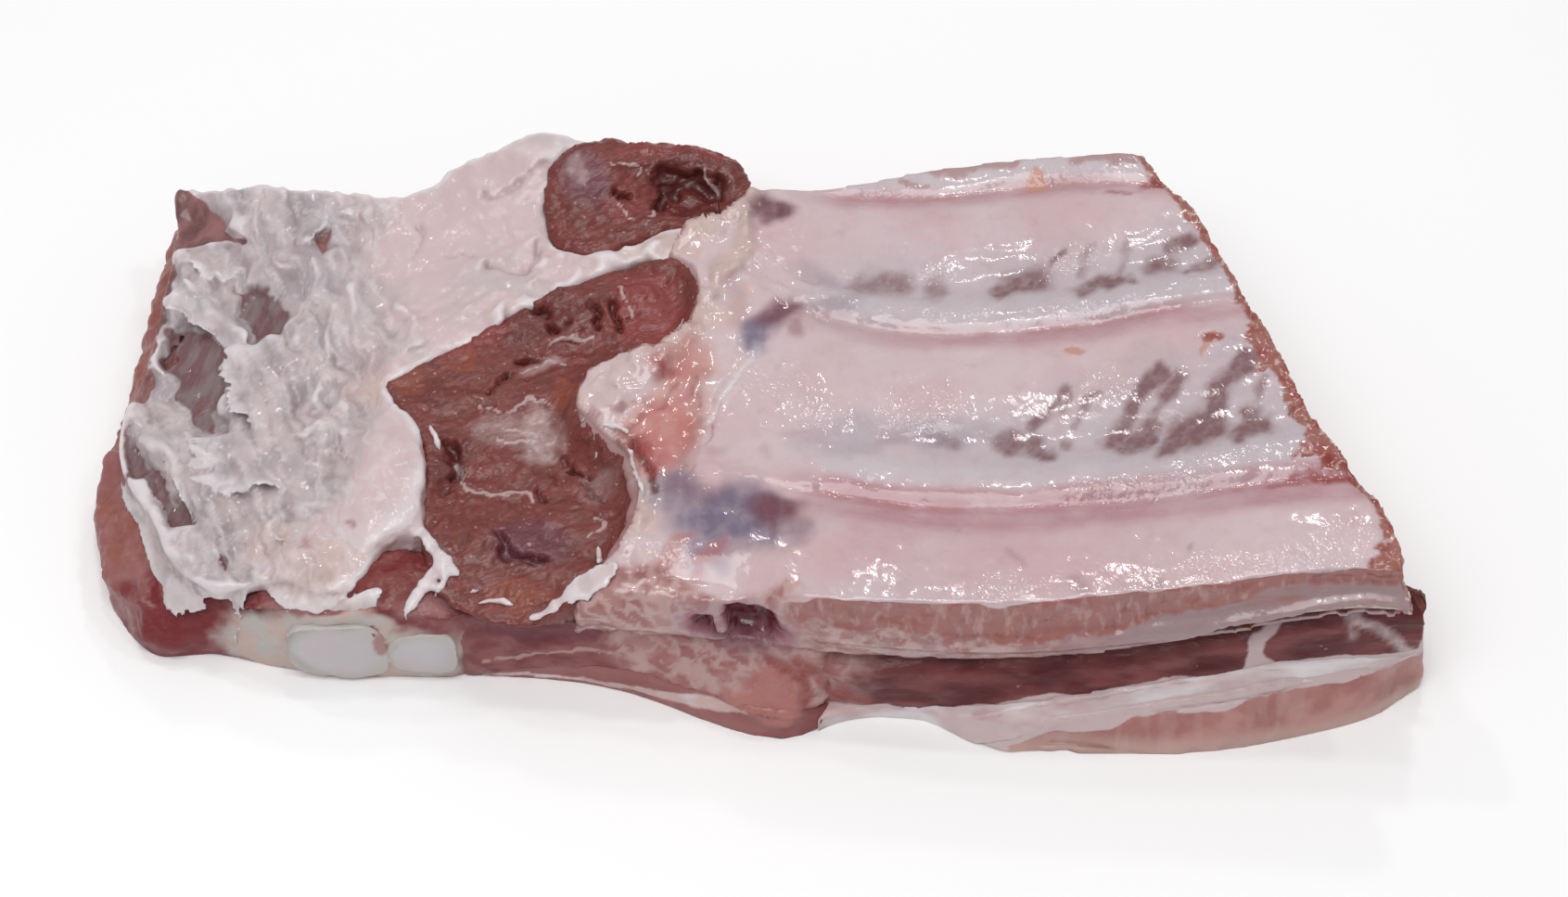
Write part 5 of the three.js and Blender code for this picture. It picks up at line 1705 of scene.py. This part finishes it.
def strand_gaps(place):
    """Pale tissue between the slanting islands of meat that a cut across the grain shows, from 0 to 1."""
    warped = astray(place, 1.4, 5, 120)
    slant = math.radians(-24)
    along = warped[:, 0] * math.cos(slant) + warped[:, 2] * math.sin(slant)
    across = warped[:, 2] * math.cos(slant) - warped[:, 0] * math.sin(slant)
    islands = cells(np.stack([along, across, warped[:, 1]], axis=1), (5.2, 2.4, 5), 123)
    return 1 - ease(islands[1] - islands[0], 0.02, 0.3)


def strand_colour(f):
    """Slanting islands of pink meat in pale tissue."""
    c = colours()
    meat = f.mix(f.clouds(0.4, 0.6, 5, 3), c.brisket, c.brisket_pale)
    return f.over(meat, f.zone("strand", 1.5, 0.6, 0.5), 0.8, c.brisket_fat)


def front_lean_colour(f):
    c = colours()
    return f.mix(f.clouds(0.38, 0.62, 3, 4, (2, 1, 1)), c.pectoral, c.flank_pale)


TONGUE = [
    (4, 13), (7, 12.2), (9.2, 8), (9, 4.4), (6.7, 2.6), (3, 2.8), (-1, 4.6), (-4, 5.6), (-3.6, 8),
    (0.4, 9.4), (1.8, 12),
]
LEAN_LINE = (0.7, (-47, 4.6), (-43.4, 5.1), (-36.5, 6.6), (-32.4, 8.1), (-25.7, 8.9), (-21.6, 10.6))
RED_BY_TONGUE = [
    (2.2, (3.5, 14), (7.7, 12.8), (10, 9.6), (10.2, 6)),
    (2.4, (8, 14.5), (11, 12.5), (14, 9)),
]
# The line of fat in the pectoral band: its level and half its thickness.
pectoral_fat_level = through(
    (-47, 1), (-29, 1.2), (-23, 1.6), (-18, 2.3), (-13.6, 3.3), (-9, 4.1), (-4.5, 4.6), (2, 4.5)
)
pectoral_fat_half = through(
    (-47, 0.4), (-29, 0.45), (-23, 0.65), (-18, 0.9), (-13.6, 1.1), (-9, 1.35), (-4.5, 1.2), (0, 0.4)
)


def make_brisket():
    meat = cut_layer("brisket_cut", "brisket_meat")
    meat.cut_flush()
    meat.reach(x=3)
    meat.reach(x=-5, share=1 - ease(meat.place[:, 0], -48, -46))
    meat.reach(z=-1)
    meat.feather(-50.5 - meat.place[:, 0])
    meat.relax(ease(meat.place[:, 0], 9, 13), 25)
    meat.push(x=1.5 * meat.cloud((30, 30, 5), 127) * ease(meat.place[:, 0], 8, 12))
    gap = strand_gaps(meat.place)
    warped = astray(meat.place, 0.8, 4, 126)
    face = wall(warped)
    x, y, z = meat.place.T
    stranded = ease(x + 0.8 * z, -22, -12)
    tongue = patch(face, TONGUE, 1.6)
    relief = 0.45 * (0.5 - gap) * stranded * (1 - tongue) + 0.2 * meat.cloud(2.4, 124)
    meat.lift(relief + 1.3 * tongue + 0.4 * meat.cloud((9, 5, 3), 125) * (1 - stranded))
    meat.paint(
        strand=gap,
        lean=1 - stranded,
        purple=patch(face, PURPLE_LEAN, 1.0),
        line=stroke(face, *LEAN_LINE),
        tongue=tongue,
        hole_rim=oval(wall(meat.place), *HOLE_RIM),
        blood=strokes(face, RED_BY_TONGUE),
    )
    meat.hand_in(brisket_finish(), "brisket")


def brisket_finish():
    c = colours()
    f = Finish("brisket_meat_cut")
    flesh = f.mix(f.zone("lean", 4, 0.7, 0.5), strand_colour(f), front_lean_colour(f))
    flesh = f.coats(
        flesh,
        (f.zone("purple", 3, 0.5, 0.4), 0.85, c.purple_lean),
        (f.zone("line", 2, 0.8, 0.4), 0.7, c.brisket_fat),
        (f.zone("tongue", 2, 0.3, 0.4), 0.9, c.tongue),
        (f.zone("blood", 3, 0.7, 0.7), 0.75, c.skirt_red),
        (f.painted("hole_rim", 0.4, 2), 0.9, c.bruise_red),
    )
    f.add_relief(f.noise(1.1, 3), 0.2)
    f.add_relief(f.noise(3, 4), 0.3)
    return f.done(flesh, f.gloss(4, 0.32, 0.52), wet=0.25, flesh=0.12)


def make_pectoral():
    meat = cut_layer("pectoral_band", "pectoral_meat")
    meat.cut_flush()
    meat.reach(x=3)
    meat.relax(ease(meat.place[:, 0], 9, 13), 25)
    tongue = patch(wall(meat.place), TONGUE, 1.6)
    uneven = 0.3 * meat.cloud((8, 5, 3), 130) + 0.1 * meat.cloud(2, 131)
    meat.lift((uneven + 1.3 * tongue) * ease(meat.place[:, 2], -1, 3))
    meat.keep_on_table()
    x, y, z = meat.place.T
    off = np.abs(z - pectoral_fat_level(x) - 0.4 * meat.cloud(5, 132))
    thick = pectoral_fat_half(x)
    front = ease(-meat.normal[:, 1], 0.1, 0.5)
    meat.paint(
        fat=(1 - ease(off, 0.6 * thick, 1.4 * thick)) * (1 - ease(x, -1, 2)) * front,
        tongue=tongue,
        dark=ease(x, 6, 12) * (1 - tongue),
    )
    meat.hand_in(pectoral_finish(), "pectoral")


def pectoral_finish():
    c = colours()
    f = Finish("pectoral_meat_cut")
    flesh = f.mix(f.clouds(0.38, 0.62, 5, 4, (2, 1, 1)), c.pectoral, c.brisket)
    flesh = f.over(flesh, f.zone("dark", 3, 0.6, 0.4), 0.7, c.flank_pale)
    flesh = f.over(flesh, f.zone("tongue", 2, 0.3, 0.4), 0.9, c.tongue)
    fat = f.mix(f.clouds(0.45, 0.7, 4, 3, (2, 1, 1)), c.cream, c.fat_white)
    flesh = f.over(flesh, f.zone("fat", 2, 0.5, 0.4), 0.85, fat)
    f.add_relief(f.noise(1.2, 3, (2.2, 1, 1)), 0.2)
    return f.done(flesh, f.gloss(4, 0.32, 0.52), wet=0.25, flesh=0.12)


# Layers under the ribs

over_seam_level = through((12, 3), (21, 3), (39, 5), (53, 8), (63, 10), (87, 13), (118, 13.5))
under_seam_level = through((38, 1.2), (46, 2.6), (54, 4.2), (63, 6.2), (87, 9.2), (118, 10.2))
under_ribs_level = through((-35, 15.5), (10, 17), (47, 18), (62, 20), (78, 22), (98, 26.5), (115, 28))
FLANK_FAT = [
    (1.6, 0.9, (99.5, 29.5), (101.5, 27.5), (104.8, 22.5), (109, 20.2), (114, 14.5)),
    (1.4, 0.6, (103, 24.5), (104, 19)),
]
FLANK_RED = [(2.4, 0.9, (11, 9), (12.6, 6.8), (16.8, 6), (20, 5.4)), (3, 0.6, (11, 15), (13.5, 12))]
FAT_BRANCH = [
    (81.9, 12), (85.4, 13.6), (86.2, 17.3), (86.3, 19.7), (88.3, 21.2), (91, 24.4), (94, 28),
    (94.8, 27.6), (92.8, 24.2), (90.6, 20.8), (88.9, 18.6), (88.9, 16.5), (91.4, 13.6), (96, 12.5),
]


def seam_wave(place, seed):
    """How far a cut border between two layers strays up and down."""
    return 0.8 * cloud(place, (10, 60, 60), seed) + 0.15 * cloud(place, (3, 60, 60), seed + 1)


def make_flank():
    flank = cut_layer("flank_layer", "flank_meat")
    flank.cut_flush()
    flank.reach(z=-1.2)
    flank.reach(x=-3, share=1 - ease(flank.place[:, 0], 14, 16))
    flank.push(y=2.2 * (1 - ease(flank.place[:, 0], 12, 21)))
    x, y, z = flank.place.T
    flank.push(x=3.4 * ease(along_ribs(x, y), 102, 112) * (1 - ease(y, -47, -40)))
    x, y, z = flank.place.T
    front = ease(-flank.normal[:, 1], 0.3, 0.7) * ease(-y, 36, 40)
    under_lip = ease(z - under_ribs_level(along_ribs(x, y)), -5, -1)
    strands = flank.cloud((10, 4, 2.6), 140)
    flank.push(y=front * 2.4 * under_lip)
    flank.lift(0.35 * strands + 0.15 * flank.cloud(2, 141))
    x, y, z = flank.place.T
    lower = over_seam_level(along_ribs(x, y)) + 0.8 + seam_wave(flank.place, 142)
    warped = astray(flank.place, 0.5, 3, 143)
    flank.paint(
        fat=np.maximum(1 - ease(z - lower, -0.5, 0.5), patch(wall(warped), FAT_BRANCH, 0.8) * front),
        branch=soft_strokes(wall(warped), FLANK_FAT) * front,
        strand=strand_gaps(flank.place),
        by_brisket=1 - ease(x + 2.5 * flank.cloud(5, 146), 13, 24),
        red=soft_strokes(wall(warped), FLANK_RED) * front,
        pale=ease(strands, 0.0, 0.7),
        # Painted shade on the front wall under the lip of the rib plate.
        deep=under_lip * front,
        saw=ease(flank.normal[:, 0], 0.4, 0.7),
    )
    flank.hand_in(flank_finish(), "flank")


def flank_finish():
    c = colours()
    f = Finish("flank_meat_cut")
    flesh = f.mix(f.clouds(0.38, 0.64, 5, 4, (2.5, 1, 1)), c.flank, c.flank_pale)
    flesh = f.coats(
        flesh,
        (f.zone("pale", 2, 0.5, 0.4), 0.2, c.brisket),
        # Painted shade under the lip of the rib plate.
        (f.zone("deep", 3, 0.6, 0.4), 0.4, c.skirt_dark_and_shade),
        (f.painted("by_brisket", 0.6, 4), 0.8, strand_colour(f)),
        (f.painted("red", 0.5, 2), 0.8, c.skirt_red),
        (f.zone("saw", 2, 0.8, 0.4), 0.5, c.saw_crumb),
        (f.zone("fat", 1.6, 0.5, 0.25), 0.95, c.seam),
        (f.painted("branch", 0.4, 2), 0.9, c.seam),
    )
    flesh = f.mix(f.range(f.noise(1.2, 2), 0.7, 0.8, 0, 0.5), flesh, c.brisket_fat)
    f.add_relief(f.noise(1.0, 3, (3, 1, 1)), 0.2)
    f.add_relief(f.noise(3.2, 4, (2, 1, 1)), 0.3)
    return f.done(flesh, f.gloss(4, 0.32, 0.5), wet=0.15, flesh=0.1)


FOOT_REACH = 3.5


def foot_bulge(place):
    """The share of the rounded foot of fat where the seam runs down to the table."""
    x, y, z = place.T
    return ease(x, 30, 42) * (1 - ease(x, 42, 55)) * (1 - ease(y, -46, -40)) * (1 - ease(z, 2.5, 8))


def make_fat_seam():
    seam = cut_layer("seam_of_fat", "fat_seam")
    seam.cut_flush(proud=0.2)
    uneven = 0.2 * seam.cloud((8, 4, 4), 150) + 0.08 * seam.cloud(2, 151)
    seam.lift(uneven * ease(seam.place[:, 2], -1, 3))
    seam.push(y=-FOOT_REACH * foot_bulge(seam.place))
    seam.keep_on_table()
    seam.paint(
        pink=ease(seam.cloud((14, 14, 3), 152), 0.3, 0.8),
        rim=ease(seam.normal[:, 0], 0.4, 0.7),
    )
    seam.hand_in(seam_finish(), "fat_seam")


def seam_finish():
    c = colours()
    f = Finish("white_seam_fat")
    skin = f.mix(f.clouds(0.35, 0.65, 6, 4, (2.5, 1, 1)), c.seam, c.fat_white)
    skin = f.over(skin, f.zone("pink", 4, 0.8, 0.4), 0.2, c.salmon)
    skin = f.over(skin, f.zone("rim", 3, 0.5, 0.4), 0.5, c.fat_yellow)
    f.add_relief(f.noise(1.2, 3, (2, 1, 1)), 0.12)
    f.add_relief(f.noise(4, 3), 0.2)
    return f.done(skin, f.gloss(5, 0.34, 0.52), wet=0.25, flesh=0.25, depth=1.5)


def make_belly():
    belly = cut_layer("belly_layer", "belly_meat", smoothing=12)
    belly.cut_flush()
    belly.reach(z=1.2)
    belly.relax(1 - ease(belly.place[:, 0], 46, 53), 30)
    uneven = 0.3 * belly.cloud((9, 5, 6), 160) + 0.1 * belly.cloud(2, 161)
    belly.lift(uneven * ease(belly.place[:, 2], 0, 4))
    belly.push(y=-FOOT_REACH * foot_bulge(belly.place))
    belly.keep_on_table()
    x, y, z = belly.place.T
    upper = under_seam_level(along_ribs(x, y)) - 0.8 + seam_wave(belly.place, 162)
    tip = 1 - ease(x - 43 - 2 * belly.cloud(6, 163) - 0.6 * z, 0, 3)
    belly.paint(
        fat=np.maximum(ease(z - upper, -0.5, 0.5), tip),
        grain=ease(belly.cloud((2.6, 12, 9), 164), 0.1, 0.7),
        low=1 - ease(z, 0.5, 5),
    )
    belly.hand_in(belly_finish(), "belly")


def belly_finish():
    c = colours()
    f = Finish("belly_meat_cut")
    flesh = f.mix(f.clouds(0.38, 0.62, 8, 4), c.belly, c.belly_dark)
    flesh = f.over(flesh, f.zone("grain", 3, 1.0, 0.5), 0.25, c.brisket_fat)
    flesh = f.over(flesh, f.zone("low", 4, 0.6, 0.5), 0.5, c.fat_yellow)
    flesh = f.mix(f.zone("fat", 1.6, 0.4, 0.2), flesh, c.seam)
    f.add_relief(f.noise(1.0, 3, (1, 1, 2.5)), 0.15)
    f.add_relief(f.noise(3.5, 4), 0.25)
    return f.done(flesh, f.gloss(4, 0.32, 0.52), wet=0.25, flesh=0.15)


# Stage

TARGET = (6.0, -3.0, 16.0)
CAMERA_DISTANCE = 620.0
CAMERA_RISE = math.radians(52)
PHOTO_WIDTH = 1691
FOCAL_PIXELS = 3700.0
SENSOR_WIDTH = 36.0
FLOOR_SIZE = 6.0
SKY_STRENGTH = 0.45
# Soft lamps: place and width in metres, then power.
LAMPS = {
    "wide_key": ((-0.15, -0.3, 0.85), 0.5, 3.3),
    "ceiling_back": ((0.16, 0.5, 0.62), 0.055, 0.4),
    "ceiling_left": ((-0.3, 0.35, 0.75), 0.055, 0.4),
    "ceiling_front": ((0.05, -0.12, 0.9), 0.055, 0.5),
    "ceiling_right": ((0.35, 0.15, 0.8), 0.055, 0.4),
    "ceiling_middle": ((0.0, 0.2, 0.85), 0.055, 0.4),
}


def aim(item, target):
    away = item.location - target
    item.rotation_euler = away.to_track_quat("Z", "Y").to_euler()


def make_stage():
    scene = bpy.context.scene
    target = Vector(TARGET) * MM
    bpy.ops.object.select_all(action="DESELECT")
    bpy.ops.mesh.primitive_plane_add(size=FLOOR_SIZE)
    floor = bpy.context.object
    floor.name = "floor"
    paper = bpy.data.materials.new("pale_paper")
    paper.use_nodes = True
    shader = paper.node_tree.nodes["Principled BSDF"]
    shader.inputs["Base Color"].default_value = (*colours().floor, 1)
    shader.inputs["Roughness"].default_value = 1.0
    shader.inputs["Specular IOR Level"].default_value = 0.0
    floor.data.materials.append(paper)

    bpy.ops.object.camera_add()
    camera = bpy.context.object
    back = Vector((0, -math.cos(CAMERA_RISE), math.sin(CAMERA_RISE)))
    camera.location = target + back * CAMERA_DISTANCE * MM
    aim(camera, target)
    camera.data.sensor_fit = "HORIZONTAL"
    camera.data.sensor_width = SENSOR_WIDTH
    camera.data.lens = FOCAL_PIXELS / PHOTO_WIDTH * SENSOR_WIDTH
    camera.data.clip_start = 0.01
    scene.camera = camera

    for name, (place, size, power) in LAMPS.items():
        bpy.ops.object.light_add(type="AREA", location=place)
        lamp = bpy.context.object
        lamp.name = name
        lamp.data.size = size
        lamp.data.energy = power
        aim(lamp, target)
    world = scene.world or bpy.data.worlds.new("studio")
    scene.world = world
    world.use_nodes = True
    sky = world.node_tree.nodes["Background"]
    sky.inputs["Color"].default_value = (1, 1, 1, 1)
    sky.inputs["Strength"].default_value = SKY_STRENGTH
    scene.view_settings.view_transform = "Standard"


# Operators and panel

class SLAB_OT_rib_plate(bpy.types.Operator):
    """Make the rib plate: membrane over the ribs, the meat between them and the fat at their roots"""

    bl_idname = "slab.rib_plate"
    bl_label = "Rib plate"

    def execute(self, context):
        make_rib_plate()
        return {"FINISHED"}


class SLAB_OT_rib_bones(bpy.types.Operator):
    """Make the three rib bones with their sawn ends"""

    bl_idname = "slab.rib_bones"
    bl_label = "Rib bones"

    def execute(self, context):
        make_rib_bones()
        return {"FINISHED"}


class SLAB_OT_breast_fat(bpy.types.Operator):
    """Make the torn breast fat with its ragged sheets"""

    bl_idname = "slab.breast_fat"
    bl_label = "Breast fat"

    def execute(self, context):
        make_breast_fat()
        return {"FINISHED"}


class SLAB_OT_skirts(bpy.types.Operator):
    """Make the two dark skirt muscles"""

    bl_idname = "slab.skirts"
    bl_label = "Skirt muscles"

    def execute(self, context):
        make_skirts()
        return {"FINISHED"}


class SLAB_OT_breast_end(bpy.types.Operator):
    """Make the lean under the breast fat and the cartilage ends in it"""

    bl_idname = "slab.breast_end"
    bl_label = "Breast lean and cartilage"

    def execute(self, context):
        make_breast_lean()
        make_cartilages()
        return {"FINISHED"}


class SLAB_OT_middle_meat(bpy.types.Operator):
    """Make the brisket and the pectoral band under it"""

    bl_idname = "slab.middle_meat"
    bl_label = "Brisket and pectoral"

    def execute(self, context):
        make_brisket()
        make_pectoral()
        return {"FINISHED"}


class SLAB_OT_layers(bpy.types.Operator):
    """Make the layers under the ribs: flank, seam of fat and belly"""

    bl_idname = "slab.layers"
    bl_label = "Flank, seam and belly"

    def execute(self, context):
        make_flank()
        make_fat_seam()
        make_belly()
        return {"FINISHED"}


class SLAB_OT_stage(bpy.types.Operator):
    """Set the pale floor, the soft light and the camera"""

    bl_idname = "slab.stage"
    bl_label = "Stage"

    def execute(self, context):
        make_stage()
        return {"FINISHED"}


STEPS = (
    SLAB_OT_stage,
    SLAB_OT_rib_plate,
    SLAB_OT_rib_bones,
    SLAB_OT_skirts,
    SLAB_OT_breast_end,
    SLAB_OT_breast_fat,
    SLAB_OT_middle_meat,
    SLAB_OT_layers,
)


class SLAB_PT_panel(bpy.types.Panel):
    """Lists the steps that dress the slab"""

    bl_idname = "SLAB_PT_panel"
    bl_label = "Spare rib slab"
    bl_space_type = "VIEW_3D"
    bl_region_type = "UI"
    bl_category = "Slab"

    def draw(self, context):
        for step in STEPS:
            self.layout.operator(step.bl_idname)


CLASSES = (SlabSizes, SlabColours, *STEPS, SLAB_PT_panel)


def register():
    for item in CLASSES:
        bpy.utils.register_class(item)
    bpy.types.Scene.slab_sizes = bpy.props.PointerProperty(type=SlabSizes)
    bpy.types.Scene.slab_colours = bpy.props.PointerProperty(type=SlabColours)


def unregister():
    del bpy.types.Scene.slab_colours
    del bpy.types.Scene.slab_sizes
    for item in reversed(CLASSES):
        bpy.utils.unregister_class(item)


def main():
    register()
    for step in STEPS:
        group, name = step.bl_idname.split(".")
        getattr(getattr(bpy.ops, group), name)()


if __name__ == "__main__":
    main()
